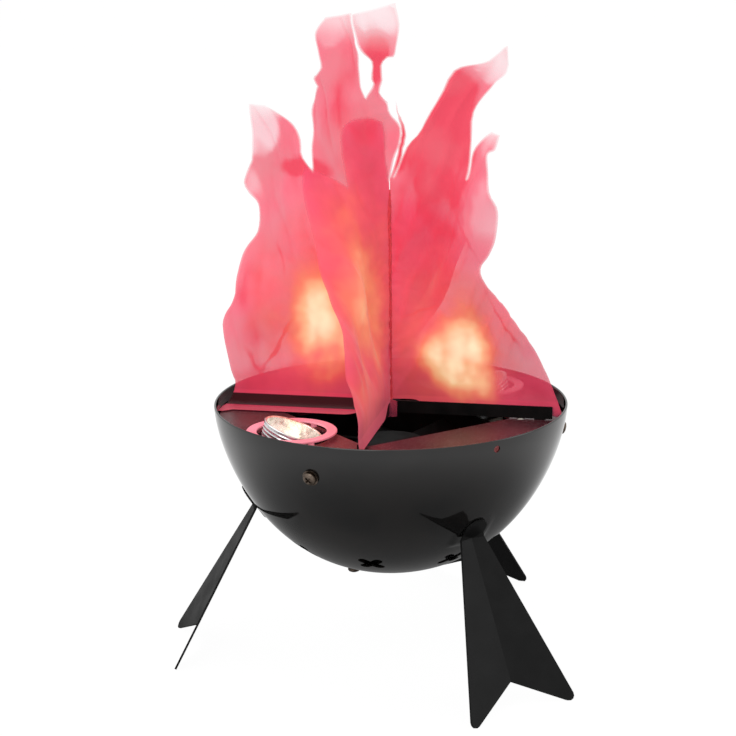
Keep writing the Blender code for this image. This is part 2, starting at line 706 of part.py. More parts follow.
def add_blade(bm, turn):
    """One twisted blade, rooted in the hub."""
    rows, cols = 3, 3
    tip = FAN_BORE_R - BLADE_TIP_PLAY
    root = HUB_R - HUB_WALL / 2
    sides = {}
    for side in (-1, 1):
        for i in range(rows + 1):
            r = root + (tip - root) * i / rows
            for j in range(cols + 1):
                angle, z = blade_point(r, j / cols)
                after, z_after = blade_point(r, j / cols + 0.01)
                run = Vector(((after - angle) * r, z_after - z)).normalized()
                bow = math.sin(math.pi * j / cols) * 1.2 * MM
                shift = side * BLADE_T / 2 - bow
                a = turn + angle - run.y * shift / r
                point = Vector((r * math.cos(a), r * math.sin(a), FAN_LOW + z + run.x * shift))
                sides[side, i, j] = bm.verts.new(point)
    add_sheet_faces(bm, sides, rows, cols)


def add_sheet_faces(bm, sides, rows, cols):
    """Closes a grid of points given on both of its sides."""
    for i in range(rows):
        for j in range(cols):
            for side in (-1, 1):
                ring = [(i, j), (i + 1, j), (i + 1, j + 1), (i, j + 1)]
                bm.faces.new([sides[side, a, b] for a, b in ring[::side]])
    border = ([(0, j) for j in range(cols)] + [(i, cols) for i in range(rows)]
              + [(rows, j) for j in range(cols, 0, -1)] + [(i, 0) for i in range(rows, 0, -1)])
    for a, b in zip(border, border[1:] + border[:1]):
        bm.faces.new((sides[-1, *a], sides[-1, *b], sides[1, *b], sides[1, *a]))


def make_fan_rotor(pivot, plastic, magnet, steel):
    """Hub with blades, the magnet ring in it and its shaft; all turn about the bowl's axis."""
    z = FAN_LOW
    inner = HUB_R - HUB_WALL
    crown = HUB_HIGH - HUB_WALL
    bore = SHAFT_R + GAP
    profile = [(0, HUB_HIGH), (HUB_R - HUB_WALL, HUB_HIGH), (HUB_R, HUB_HIGH - HUB_WALL),
               (HUB_R, HUB_LOW), (inner, HUB_LOW), (inner, crown), (BOSS_R, crown),
               (BOSS_R, BOSS_LOW), (bore, BOSS_LOW), (bore, crown), (0, crown)]
    bm = bmesh.new()
    add_turned(bm, [(r, z + h) for r, h in profile], 24)
    hub = make("fan_impeller", bm, plastic, pivot)
    blades = bmesh.new()
    for k in range(BLADE_COUNT):
        add_blade(blades, k * 2 * math.pi / BLADE_COUNT)
    combine(hub, blades, "UNION")
    ring = inner - GAP
    bm = bmesh.new()
    add_tube(bm, ring - MAGNET_T, ring, z + HUB_LOW + MM, z + crown - 2 * MM, 24)
    make("fan_magnet", bm, magnet, pivot)
    bm = bmesh.new()
    add_rod(bm, SHAFT_R, z + MOUNT_T + 3 * GAP, z + crown - GAP, 16)
    make("fan_shaft", bm, steel, pivot)


def make_fan_stator(axis, steel, copper, brass, green):
    """Bearing tube, board, laminated poles and their coils, fixed on the motor plate."""
    base = FAN_LOW + 0.2 * MM + MOUNT_T + GAP
    bm = bmesh.new()
    add_tube(bm, SHAFT_R + GAP, BEARING_R, base, FAN_LOW + BOSS_LOW - 2 * GAP, 24)
    make("fan_bearing", bm, brass, axis)
    inner = BEARING_R + GAP
    shoe = HUB_R - HUB_WALL - GAP - MAGNET_T - STATOR_PLAY
    bm = bmesh.new()
    add_tube(bm, inner, shoe, base, base + BOARD_T, 32)
    make("fan_board", bm, green, axis)
    hub = inner + 2.4 * MM
    low = base + BOARD_T + 2 * MM
    high = FAN_LOW + BOSS_LOW - 2 * GAP
    neck = shoe - 2 * MM
    outline = []
    for k in range(4):
        wide = math.radians(32)
        arc = [-wide + 2 * wide * i / 6 for i in range(7)]
        pole = [(math.sqrt(hub ** 2 - POLE_HALF ** 2), -POLE_HALF), (neck, -POLE_HALF),
                (neck * math.cos(wide), -neck * math.sin(wide))]
        pole += [(shoe * math.cos(t), shoe * math.sin(t)) for t in arc]
        pole += [(x, -y) for x, y in reversed(pole[:3])]
        outline += turned_points(pole, k * math.pi / 2)
    bm = bmesh.new()
    add_prism(bm, outline, low, high, holes=[circle(inner, 16)])
    make("fan_stator", bm, steel, axis)
    flat = Matrix(((0, 0, 1, 0), (1, 0, 0, 0), (0, 1, 0, 0), (0, 0, 0, 1)))
    mid, tall = (low + high) / 2, (high - low) / 2

    def coil(bm):
        outside = rounded_box(POLE_HALF + 2.4 * MM, tall + 1.4 * MM, 1.2 * MM, 2, (0, mid))
        window = rounded_box(POLE_HALF + GAP, tall + GAP, 0.2 * MM, 1, (0, mid))
        end = neck * math.cos(math.radians(32)) - GAP
        add_prism(bm, outside, hub + GAP, end, flat, [window])

    places = {str(k + 1): spin_z(k * math.pi / 2) for k in range(4)}
    make_set("fan_coil", places, coil, copper, axis)


def fan_corners():
    """Places of the fan's four screws."""
    half = FAN_PITCH / 2
    corners = [(sx * half, sy * half) for sx in (-1, 1) for sy in (-1, 1)]
    return {str(k + 1): Matrix.Translation((x, y, 0)) for k, (x, y) in enumerate(corners)}


def make_fan_screws(axis, mat):
    """Long screws that run up through the fan into the plate's standoffs."""
    seat = FAN_LOW - GAP

    def screw(bm):
        head = pan_head(FAN_HEAD_R, FAN_HEAD_H, -seat)
        profile = [(0, PLATE_TOP - GAP), (FAN_SCREW_R, PLATE_TOP - GAP), (FAN_SCREW_R, seat)]
        add_turned(bm, profile + [(r, -z) for r, z in head], 14)

    make_set("fan_screw", fan_corners(), screw, mat, axis)


def make_lamp(side, azimuth, axis, mats):
    """Flat ring on the plate, and the lamp that tilts in the ring's two ears."""
    home = guide("lamp_place_" + side, axis,
                 spin_z(azimuth) @ Matrix.Translation((0, -LAMP_R, 0)) @ spin_z(LAMP_AIM))
    bm = bmesh.new()
    top = RING_LOW + RING_T
    add_tube(bm, RING_INNER_R, RING_OUTER_R, RING_LOW, top, 32)
    ring = make("lamp_ring_" + side, bm, mats["plate"], home)
    extra = bmesh.new()
    foot_r = (LAMP_HOLE_R + RING_OUTER_R) / 2
    for k in range(3):
        x, y = turned_points([(0, -foot_r)], k * 2 * math.pi / 3)[0]
        foot = (RING_OUTER_R - LAMP_HOLE_R) / 2 - 0.5 * MM
        at = Matrix.Translation((x, y, 0))
        add_rod(extra, foot, PLATE_TOP + GAP, RING_LOW + RING_T / 2, 12, at)
    ear_x = RING_INNER_R + 0.1 * MM
    for sx in (-1, 1):
        low = (min(sx * ear_x, sx * (ear_x + EAR_T)), -EAR_HALF, PIVOT_Z - EAR_HALF)
        high = (max(sx * ear_x, sx * (ear_x + EAR_T)), EAR_HALF, RING_LOW + RING_T / 2)
        add_block(extra, low, high)
    combine(ring, extra, "UNION")
    cut = bmesh.new()
    across = Matrix.Translation((0, 0, PIVOT_Z)) @ Matrix.Rotation(math.pi / 2, 4, "Y")
    add_rod(cut, PIN_R + GAP, -2 * RING_OUTER_R, 2 * RING_OUTER_R, 12, across)
    combine(ring, cut)

    tilt = Matrix.Translation((0, 0, PIVOT_Z)) @ Matrix.Rotation(-LAMP_TILT, 4, "X")
    pivot = guide("lamp_tilt_" + side, home, tilt)
    pins = bmesh.new()
    for sx in (-1, 1):
        turn = Matrix.Rotation(sx * math.pi / 2, 4, "Y")
        start = can_radius(0) - CAN_WALL / 2
        add_rod(pins, PIN_R, start, ear_x + EAR_T + 0.1 * MM, 10, turn)

    heights = [CAN_MOUTH - CAN_DEPTH * k / 5 for k in range(6)]
    outer = [(can_radius(h), h) for h in heights]
    inner = [(can_radius(h) - CAN_WALL, h) for h in heights[:-1]]
    lip = [(CAN_R - CAN_WALL, CAN_MOUTH), (CAN_R, CAN_MOUTH), (CAN_R, CAN_MOUTH - 1.4 * MM),
           (can_radius(CAN_MOUTH - 1.8 * MM), CAN_MOUTH - 1.8 * MM)]
    floor = [(STEM_R + MM, heights[-1]), (STEM_R + MM, heights[-1] + CAN_WALL)]
    profile = lip + outer[1:] + floor + list(reversed(inner[1:]))
    bm = bmesh.new()
    add_turned(bm, profile, 24)
    combine(make("lamp_can_" + side, bm, mats["alu"], pivot), pins, "UNION")

    holder_top = heights[-1] - GAP
    foot = holder_top - HOLDER_H + 1.5 * MM
    top = -BULB_TOP
    bulb = [(0, top), (0.6 * BULB_R, top - 0.15 * BULB_R), (BULB_R, top - 0.7 * BULB_R),
            (BULB_R, top - BULB_BARREL), (STEM_R, top - BULB_BARREL - BULB_NECK),
            (STEM_R, foot + GAP), (0, foot + GAP)]
    bm = bmesh.new()
    add_turned(bm, bulb, 16)
    make("lamp_bulb_" + side, bm, mats["glass"], pivot)
    bm = bmesh.new()
    well = STEM_R + GAP
    holder = [(0, foot), (well, foot), (well, holder_top), (HOLDER_R, holder_top),
              (HOLDER_R, holder_top - HOLDER_H), (0, holder_top - HOLDER_H)]
    add_turned(bm, holder, 20)
    make("lamp_holder_" + side, bm, mats["ceramic"], pivot)


def can_radius(height):
    """Outer radius of the lamp's reflector at a height over the pivot: a bowl on a neck."""
    share = min(max((CAN_MOUTH - height) / CAN_DEPTH, 0), 1)
    belly = CAN_R - 0.6 * MM - CAN_NECK_R
    return CAN_NECK_R + belly * math.sqrt(1 - share ** 2.2)


# Outline of each silk panel. Widths are shares of FOOT out from the seam and heights are shares
# of FLAME_H above the rim. "edge" is the free edge of the panel's body, "seam" is where its body
# ends at the seam, and every tongue has its outer and its inner edge.
PANELS = {
    "left": {
        "azimuth": -135, "twist": -14, "folds": (0.15, 0.55),
        "edge": [(1.0, 0), (0.99, 0.05), (1.01, 0.08), (1.06, 0.17), (1.06, 0.21), (0.99, 0.265),
                 (0.95, 0.365), (0.88, 0.42), (0.90, 0.48), (0.98, 0.51), (1.02, 0.54),
                 (0.98, 0.59)],
        "seam": 0.56,
        "tongues": [
            {"cols": (7, 12), "outer": [(0.97, 0.64), (0.97, 0.735)],
             "inner": [(0.58, 0.61), (0.61, 0.65), (0.67, 0.69), (0.78, 0.72), (0.86, 0.735)]},
            {"cols": (0, 7), "outer": [(0.53, 0.66), (0.54, 0.745), (0.49, 0.79)],
             "inner": [(-0.03, 0.62), (-0.07, 0.66), (-0.07, 0.70), (-0.01, 0.73), (0.01, 0.76)],
             "tongues": [
                 {"cols": (2, 7), "outer": [(0.51, 0.81), (0.46, 0.835), (0.48, 0.87), (0.50, 0.92),
                                            (0.45, 0.95)],
                  "inner": [(0.18, 0.80), (0.19, 0.84), (0.18, 0.88), (0.25, 0.915), (0.36, 0.945)]},
                 {"cols": (0, 2), "outer": [(0.10, 0.80), (0.12, 0.82), (0.09, 0.86), (0.12, 0.90),
                                            (0.20, 0.965)],
                  "inner": [(0.06, 0.78), (0.05, 0.81), (0.02, 0.87), (-0.05, 0.90),
                            (-0.04, 1.0)]}]}]},
    "right": {
        "azimuth": 45, "twist": -14, "folds": (0.65, 0.2),
        "edge": [(1.0, 0), (1.05, 0.02), (1.01, 0.065), (0.86, 0.19), (0.75, 0.255), (0.63, 0.305),
                 (0.58, 0.355), (0.64, 0.395), (0.68, 0.435), (0.70, 0.505), (0.66, 0.55),
                 (0.65, 0.585)],
        "seam": 0.575,
        "tongues": [
            {"cols": (10, 12), "outer": [(0.64, 0.64), (0.68, 0.655), (0.70, 0.69)],
             "inner": [(0.54, 0.645), (0.60, 0.68), (0.65, 0.697)]},
            {"cols": (0, 10), "outer": [(0.53, 0.66), (0.53, 0.745), (0.66, 0.81), (0.74, 0.845),
                                        (0.75, 0.905)],
             "inner": [(0.12, 0.65), (0.23, 0.70), (0.34, 0.78), (0.42, 0.845), (0.60, 0.865),
                       (0.72, 0.90)]}]},
    "front": {
        "azimuth": -45, "twist": -55, "folds": (0.4, 0.8),
        "edge": [(1.0, 0), (1.05, 0.03), (1.04, 0.065), (0.93, 0.13), (0.83, 0.21), (0.69, 0.29),
                 (0.63, 0.37), (0.58, 0.46), (0.56, 0.555)],
        "seam": 0.565,
        "tongues": [
            {"cols": (7, 12), "outer": [(0.55, 0.59), (0.53, 0.615)],
             "inner": [(0.36, 0.58), (0.47, 0.605)]},
            {"cols": (0, 7), "outer": [(0.31, 0.64), (0.30, 0.70), (0.24, 0.722), (0.18, 0.727)],
             "inner": [(0.02, 0.64), (0.03, 0.70), (0.07, 0.718), (0.13, 0.727)]}]},
    "back": {
        "azimuth": 135, "twist": -55, "folds": (0.9, 0.35),
        "edge": [(1.0, 0), (0.97, 0.10), (0.92, 0.22), (0.86, 0.33), (0.70, 0.42), (0.52, 0.50),
                 (0.43, 0.55)],
        "seam": 0.55,
        "tongues": [
            {"cols": (7, 12), "outer": [(0.42, 0.58), (0.38, 0.60)],
             "inner": [(0.27, 0.575), (0.32, 0.595)]},
            {"cols": (0, 7), "outer": [(0.22, 0.60), (0.16, 0.64)],
             "inner": [(0.03, 0.60), (0.07, 0.64)]}]},
}
PANEL_COLS = 12
BODY_ROWS = 14
TONGUE_ROWS = 5


def smooth(x):
    """0 below 0, 1 above 1, and an even rise between them."""
    x = min(max(x, 0.0), 1.0)
    return x * x * (3 - 2 * x)


def along(points, share):
    """Point at a share of the length of a smooth curve through the given points."""
    lengths = [0.0]
    for a, b in zip(points, points[1:]):
        lengths.append(lengths[-1] + (Vector(b) - Vector(a)).length)
    at = share * lengths[-1]
    k = max(i for i in range(len(points) - 1) if lengths[i] <= at + 1e-12)
    t = (at - lengths[k]) / (lengths[k + 1] - lengths[k])
    p = [Vector(points[min(max(k + d, 0), len(points) - 1)]) for d in (-1, 0, 1, 2)]
    return 0.5 * (2 * p[1] + (p[2] - p[0]) * t + (2 * p[0] - 5 * p[1] + 4 * p[2] - p[3]) * t * t
                  + (3 * p[1] - p[0] - 3 * p[2] + p[3]) * t ** 3)


def column(j):
    """Share of a panel's width at a column; columns lie closer together near the seam."""
    return (j / PANEL_COLS) ** 1.25


def hem(width):
    """Height of a panel's lower edge over the rim: clear of the strip, then down its side."""
    return HEM_LIFT - (HEM_LIFT + HEM_LAP) * smooth((width - HEM_CLEAR) / HEM_RUN)


def panel_point(panel, width, height):
    """Place of a panel's point from its distance to the seam and its height over the rim."""
    share, rise = width / FOOT, height / FLAME_H
    lap = STRIP_T / 2 + GAP + CLOTH_T / 2 + 0.1 * MM
    off = lap * smooth(width / LAP_RUN) * (1 - smooth((height - HEM_HOLD) / LAP_FADE))
    one, two = panel["folds"]
    free = smooth(abs(share) / 0.3) * smooth((height - HEM_HOLD) / FOLD_FADE)
    off += FOLD * free * math.sin(2 * math.pi * (0.9 * share + 1.3 * rise + one))
    off += 0.45 * FOLD * free * math.sin(2 * math.pi * (2.3 * share - 1.6 * rise + two))
    loose = max(height - HEM_HOLD, 0) / FLAME_H
    twist = math.radians(panel["twist"]) * min(loose / 0.51, 1.0) ** 1.5
    turn = math.radians(panel["azimuth"]) + twist
    out = Vector((math.sin(turn), -math.cos(turn), 0))
    side = Vector((math.cos(turn), math.sin(turn), 0))
    return out * width + side * off + Vector((0, 0, RIM_Z + height))


def panel_normal(panel, width, height):
    """Unit normal of a panel's surface."""
    step = 0.2 * MM
    across = panel_point(panel, width + step, height) - panel_point(panel, width - step, height)
    up = panel_point(panel, width, height + step) - panel_point(panel, width, height - step)
    return across.cross(up).normalized()


def tongue_rows(outer, inner, first, rows):
    """Rows of flat points between two edges that start at the ends of a first row."""
    left = [tuple(first[-1])] + outer
    right = [tuple(first[0])] + inner
    grid = [first]
    for i in range(1, rows + 1):
        a, b = along(right, i / rows), along(left, i / rows)
        grid.append([a.lerp(b, j / (len(first) - 1)) for j in range(len(first))])
    return grid


def body_rows(panel):
    """Rows of flat points of a panel's body, from its hem to where its tongues part."""
    near = (SEAM_R + GAP) / FOOT
    top_seam = panel["seam"]
    grid = []
    for i in range(BODY_ROWS + 1):
        t = i / BODY_ROWS
        edge = along(panel["edge"], t)
        row = []
        for j in range(PANEL_COLS + 1):
            c = column(j)
            width = near + (edge.x - near) * c
            height = top_seam * t * (1 - c) + edge.y * c
            height += hem(near * FOOT + (FOOT - near * FOOT) * c) / FLAME_H * (1 - t) ** 3
            row.append(Vector((width, height)))
        grid.append(row)
    return grid


def add_panel(bm, panel):
    """The thin closed solid of one silk panel."""
    verts, faces = [], []

    def add_grid(grid, first_ids=None):
        ids = [first_ids] if first_ids else []
        for row in grid[len(ids):]:
            ids.append(list(range(len(verts), len(verts) + len(row))))
            verts.extend(row)
        for low, high in zip(ids, ids[1:]):
            for j in range(len(low) - 1):
                faces.append((low[j], low[j + 1], high[j + 1], high[j]))
        return ids[-1]

    def add_tongues(tongues, row, row_ids, offset=0):
        for tongue in tongues:
            a, b = (c - offset for c in tongue["cols"])
            grid = tongue_rows(tongue["outer"], tongue["inner"], row[a:b + 1], TONGUE_ROWS)
            last = add_grid(grid, row_ids[a:b + 1])
            add_tongues(tongue.get("tongues", []), grid[-1], last, tongue["cols"][0])

    body = body_rows(panel)
    add_tongues(panel["tongues"], body[-1], add_grid(body))
    sides = []
    for side in (1, -1):
        layer = []
        for p in verts:
            w, h = p.x * FOOT, p.y * FLAME_H
            place = panel_point(panel, w, h) + panel_normal(panel, w, h) * side * CLOTH_T / 2
            layer.append(bm.verts.new(place))
        sides.append(layer)
    used = {}
    for face in faces:
        bm.faces.new([sides[0][i] for i in face])
        bm.faces.new([sides[1][i] for i in reversed(face)])
        for a, b in zip(face, face[1:] + face[:1]):
            used[a, b] = True
    for a, b in used:
        if (b, a) not in used:
            bm.faces.new((sides[0][b], sides[0][a], sides[1][a], sides[1][b]))


def make_silk(axis, mat, thread):
    """Four panels, the seam that joins them and the tab of cloth at its foot."""
    for name, panel in PANELS.items():
        bm = bmesh.new()
        add_panel(bm, panel)
        make("silk_wing_" + name, bm, mat, axis, smooth=60)
    bm = bmesh.new()
    add_rod(bm, SEAM_R, RIM_Z + GAP, RIM_Z + SEAM_TOP, 8)
    make("silk_seam", bm, thread, axis)
    reach = TAB_SIZE / 2 + STRIP_T / 2 + 2 * GAP + CLOTH_T
    low, high = RIM_Z + GAP, RIM_Z + GAP + CLOTH_T
    bm = bmesh.new()
    start = SEAM_R + 2 * GAP
    flap = [(-CLOTH_T, -start), (-TAB_SIZE / 2, -reach), (TAB_SIZE / 2, -reach), (CLOTH_T, -start)]
    add_prism(bm, flap, low, high)
    tab = make("silk_tab", bm, mat, axis)
    hang = bmesh.new()
    add_block(hang, (-TAB_SIZE / 2, -reach - CLOTH_T / 2, low - TAB_SIZE),
              (TAB_SIZE / 2, -reach + CLOTH_T / 2, low + CLOTH_T / 2))
    combine(tab, hang, "UNION")


def make_tray(axis, steel):
    """The tray in the bottom of the bowl, on two screws that come up through the bowl."""
    places = {"left": Matrix.Translation((-TRAY_SCREW_X, 0, 0)),
              "right": Matrix.Translation((TRAY_SCREW_X, 0, 0))}
    bm = bmesh.new()
    outline = rounded_box(TRAY_X / 2, TRAY_Y / 2, TRAY_CORNER_R)
    add_prism(bm, outline, TRAY_Z, TRAY_Z + TRAY_T)
    tray = make("chassis", bm, steel, axis)
    bushes, cut = bmesh.new(), bmesh.new()
    seat = bowl_height(TRAY_SCREW_X + TRAY_SPACER_R, BOWL_WALL) + 3 * GAP
    for at in places.values():
        add_rod(bushes, TRAY_SPACER_R, seat, TRAY_Z + TRAY_T / 2, 14, at)
        add_rod(cut, TRAY_SCREW_R + HOLE_PLAY, 0, RIM_Z, 12, at)
    for at in strap_screws().values():
        add_rod(cut, STRAP_SCREW_R + HOLE_PLAY, 0, RIM_Z, 12, at)
    combine(combine(tray, bushes, "UNION"), cut)
    head = bowl_height(TRAY_SCREW_X - TRAY_HEAD_R) - GAP
    top = TRAY_Z + TRAY_T + GAP + NUT_T + 2 * GAP

    def screw(bm):
        profile = [(0, top), (TRAY_SCREW_R, top), (TRAY_SCREW_R, head)]
        profile += [(r, -z) for r, z in pan_head(TRAY_HEAD_R, TRAY_HEAD_H, -head)]
        add_turned(bm, profile, 16)

    def nut(bm):
        low = TRAY_Z + TRAY_T + GAP
        add_prism(bm, circle(NUT_R, 6), low, low + NUT_T, holes=[circle(TRAY_SCREW_R + GAP, 12)])

    make_set("chassis_screw", places, screw, steel, axis)
    make_set("chassis_nut", places, nut, steel, axis)


def core_place():
    """Middle of the transformer on the tray, clear of the tray's own screw and nut."""
    return Vector((0, CORE_AT, TRAY_Z + TRAY_T + GAP))


def strap_screws():
    """Places of the two screws that hold the transformer's strap."""
    x = CORE_X / 2 + GAP + STRAP_T + STRAP_FOOT / 2
    return {"left": Matrix.Translation((-x, CORE_AT, 0)),
            "right": Matrix.Translation((x, CORE_AT, 0))}


def make_transformer(axis, steel, copper, strap_mat):
    """Laminated core, the coil round its middle limb, the strap over it and two screws."""
    place = core_place()
    upright = Matrix(((1, 0, 0, 0), (0, 0, -1, 0), (0, 1, 0, 0), (0, 0, 0, 1)))
    frame = Matrix.Translation(place) @ upright
    window_x = (CORE_X / 2 - YOKE - LIMB_HALF) / 2
    centre_x = LIMB_HALF + window_x
    window_z = CORE_Z / 2 - YOKE
    windows = []
    for sx in (-1, 1):
        x, z = sx * centre_x, CORE_Z / 2
        windows.append([(x - window_x, z - window_z), (x + window_x, z - window_z),
                        (x + window_x, z + window_z), (x - window_x, z + window_z)])
    outline = [(-CORE_X / 2, 0), (CORE_X / 2, 0), (CORE_X / 2, CORE_Z), (-CORE_X / 2, CORE_Z)]
    bm = bmesh.new()
    add_prism(bm, outline, -CORE_Y / 2, CORE_Y / 2, frame, windows)
    make("transformer_core", bm, steel, axis)
    flat = Matrix.Translation(place)
    outside = rounded_box(LIMB_HALF + 2 * window_x - GAP, CORE_Y / 2 + COIL_BUILD, 2 * MM, 3)
    inside = rounded_box(LIMB_HALF + GAP, CORE_Y / 2 + GAP, 0.2 * MM, 1)
    bm = bmesh.new()
    add_prism(bm, outside, YOKE + GAP, CORE_Z - YOKE - GAP, flat, [inside])
    make("transformer_coil", bm, copper, axis)
    x, z = CORE_X / 2 + GAP, CORE_Z + GAP
    t, foot = STRAP_T, STRAP_FOOT
    half = [(x + t + foot, 0), (x + t + foot, t), (x + t, t), (x + t, z + t)]
    back = [(x, z), (x, 0)]
    line = half + [(-a, b) for a, b in reversed(half)] + [(-a, b) for a, b in reversed(back)] + back
    bm = bmesh.new()
    add_prism(bm, line, -STRAP_HALF, STRAP_HALF, frame)
    strap = make("transformer_strap", bm, strap_mat, axis)
    cut = bmesh.new()
    for at in strap_screws().values():
        add_rod(cut, STRAP_SCREW_R + HOLE_PLAY, TRAY_Z, TRAY_Z + 3 * NUT_T, 12, at)
    combine(strap, cut)
    base = place.z + STRAP_T + GAP
    low = TRAY_Z - 2 * STRAP_T
    profile = [(0, low), (STRAP_SCREW_R, low), (STRAP_SCREW_R, base)]
    profile += pan_head(STRAP_HEAD_R, STRAP_HEAD_H, base)
    make_set("strap_screw", strap_screws(), lambda bm: add_turned(bm, profile, 14), steel, axis)


def make_terminals(axis, plastic, brass, rubber):
    """Terminal block on the tray with its screws, and the cable grommet in the bowl's wall."""
    low = TRAY_Z + TRAY_T + GAP
    high = low + BLOCK_Z
    wells = [(0, (k - (WELL_COUNT - 1) / 2) * BLOCK_Y / WELL_COUNT) for k in range(WELL_COUNT)]
    bm = bmesh.new()
    block_y = Matrix.Translation((BLOCK_AT, TRAY_Y / 2 - BLOCK_Y / 2 - MM, 0))
    add_block(bm, (-BLOCK_X / 2, -BLOCK_Y / 2, low), (BLOCK_X / 2, BLOCK_Y / 2, high), block_y)
    block = make("terminal_block", bm, plastic, axis)
    cut = bmesh.new()
    places = {str(k + 1): block_y @ Matrix.Translation((x, y, 0))
              for k, (x, y) in enumerate(wells)}
    for spot in places.values():
        add_rod(cut, WELL_R, high - WELL_DEPTH, high + MM, 12, spot)
    combine(block, cut)
    make_set("terminal_screw", places, lambda bm: add_rod(
        bm, WELL_R - GAP, high - WELL_DEPTH + GAP, high - MM, 12), brass, axis)
    frame = bowl_frame(math.pi, RIM_Z - GROMMET_DROP)
    wall = wall_along(frame)
    seat = sag(GROMMET_HOLE_R + 2 * MM, frame) + 2 * GAP
    collar, neck = GROMMET_HOLE_R + 2 * MM, GROMMET_HOLE_R - GAP
    profile = [(GROMMET_BORE_R, -wall - seat - 1.6 * MM), (collar, -wall - seat - 1.6 * MM),
               (collar, -wall - seat), (neck, -wall - seat), (neck, GAP), (collar, GAP),
               (collar - 0.6 * MM, GAP + 2 * MM), (GROMMET_BORE_R, GAP + 2 * MM)]
    bm = bmesh.new()
    add_turned(bm, profile, 18, frame)
    make("cable_grommet", bm, rubber, axis)


def main():
    for ob in list(bpy.data.objects):
        bpy.data.objects.remove(ob, do_unlink=True)
    black = material("gloss black paint", (0.012, 0.012, 0.013), 0.18)
    matte = material("matte black paint", (0.016, 0.016, 0.016), 0.55)
    steel = material("zinc steel", (0.45, 0.42, 0.38), 0.35, 1.0)
    plate = material("plate paint", (0.05, 0.012, 0.016), 0.45)
    plastic = material("black plastic", (0.02, 0.02, 0.022), 0.45)
    alu = material("brushed aluminium", (0.8, 0.8, 0.8), 0.25, 1.0)
    glass = material("lamp glass", (1.0, 0.85, 0.6), 0.05)
    ceramic = material("white ceramic", (0.85, 0.83, 0.78), 0.5)
    silk = material("red silk", (0.85, 0.08, 0.1), 0.45)
    thread = material("red thread", (0.45, 0.01, 0.02), 0.7)
    copper = material("enamelled copper", (0.6, 0.2, 0.08), 0.35, 1.0)
    brass = material("brass", (0.75, 0.55, 0.2), 0.3, 1.0)
    green = material("circuit board", (0.02, 0.2, 0.06), 0.5)
    magnet = material("ferrite", (0.06, 0.06, 0.06), 0.6)
    rubber = material("black rubber", (0.02, 0.02, 0.02), 0.8)

    axis = guide("bowl_axis", frame=Matrix.Translation((0, AXIS_Y, 0)))
    make_bowl(axis, black)
    for name, azimuth in zip(("leg_front", "leg_left", "leg_right"), LEG_AZIMUTHS):
        make_leg(name, azimuth, axis, matte)
    make_leg_nuts(axis, steel)
    make_plate(axis, plate)
    make_side_screws(axis, steel)
    make_strips(axis, matte)
    make_fan_frame(axis, plastic)
    rotor = guide("fan_axis", axis)
    make_fan_rotor(rotor, plastic, magnet, steel)
    make_fan_stator(axis, steel, copper, brass, green)
    make_fan_screws(axis, steel)
    mats = {"plate": plate, "steel": steel, "alu": alu, "glass": glass, "ceramic": ceramic}
    make_lamp("left", LAMP_AZIMUTH, axis, mats)
    make_lamp("right", LAMP_AZIMUTH + math.pi, axis, mats)
    make_silk(axis, silk, thread)
    make_tray(axis, steel)
    make_transformer(axis, steel, copper, steel)
    make_terminals(axis, plastic, brass, rubber)


main()
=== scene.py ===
"""Looks of the silk flame light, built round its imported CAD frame. Metres, +Z up.

Azimuths are measured about the bowl's axis from -Y towards +X.
"""
from math import cos, exp, hypot, log1p, pi, radians, sin, sqrt

import bmesh
import bpy
import numpy as np
from mathutils import Matrix, Vector, noise


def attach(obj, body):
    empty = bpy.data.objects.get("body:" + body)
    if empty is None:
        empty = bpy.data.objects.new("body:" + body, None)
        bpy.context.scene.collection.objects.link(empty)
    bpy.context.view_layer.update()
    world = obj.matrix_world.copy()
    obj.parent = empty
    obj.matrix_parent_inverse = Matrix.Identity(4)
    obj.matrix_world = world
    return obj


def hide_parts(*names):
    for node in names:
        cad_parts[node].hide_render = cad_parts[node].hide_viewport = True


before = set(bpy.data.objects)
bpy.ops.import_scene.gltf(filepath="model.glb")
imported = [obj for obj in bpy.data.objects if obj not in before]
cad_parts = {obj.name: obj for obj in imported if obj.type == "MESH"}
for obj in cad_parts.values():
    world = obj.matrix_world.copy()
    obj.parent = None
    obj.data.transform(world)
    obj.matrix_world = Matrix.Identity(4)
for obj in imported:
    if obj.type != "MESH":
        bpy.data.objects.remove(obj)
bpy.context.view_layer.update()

MM = 0.001
AXIS_Y = 12.5118 * MM
AXIS = Matrix.Translation((0, AXIS_Y, 0))

# Sizes repeated from the CAD source
RIM_R, RIM_Z, BOWL_DEPTH, BOWL_WALL = 100 * MM, 146 * MM, 97 * MM, 1.2 * MM
SQUARE_R, SQUARE_Z = 2.285, 1.588       # exponents of the bowl's rounded-square section
VENT_COUNT, VENT_R, VENT_SPAN, VENT_ARM = 8, 59 * MM, 17 * MM, 5.5 * MM
HANG_HOLE_R, HANG_HOLE_DROP = 2.0 * MM, 5 * MM
GROMMET_DROP, GROMMET_HOLE_R = 58 * MM, 4.5 * MM
TONGUE_DROP = 53.5 * MM
PLATE_TOP = 138.5 * MM
GAP = 0.3 * MM
STRIP_T = 1.0 * MM
LAMP_AZIMUTH, LAMP_R, LAMP_TILT = radians(-82), 72.8 * MM, radians(20)
LAMP_AIM = radians(-42)            # how far the lean is turned from straight inwards
RING_INNER_R, RING_OUTER_R, RING_LOW, RING_TOP = 19.2 * MM, 24.8 * MM, 141.3 * MM, 142.5 * MM
RING_FOOT_AT, RING_FOOT_R = 22.65 * MM, 1.65 * MM
EAR_T, EAR_HALF, PIVOT_Z, PIN_R = 0.8 * MM, 2 * MM, 139.1 * MM, 1.0 * MM
CAN_R, CAN_MOUTH, CAN_WALL, CAN_DEPTH, CAN_NECK_R = 17 * MM, 4.6 * MM, 0.8 * MM, 22.7 * MM, 6.4 * MM
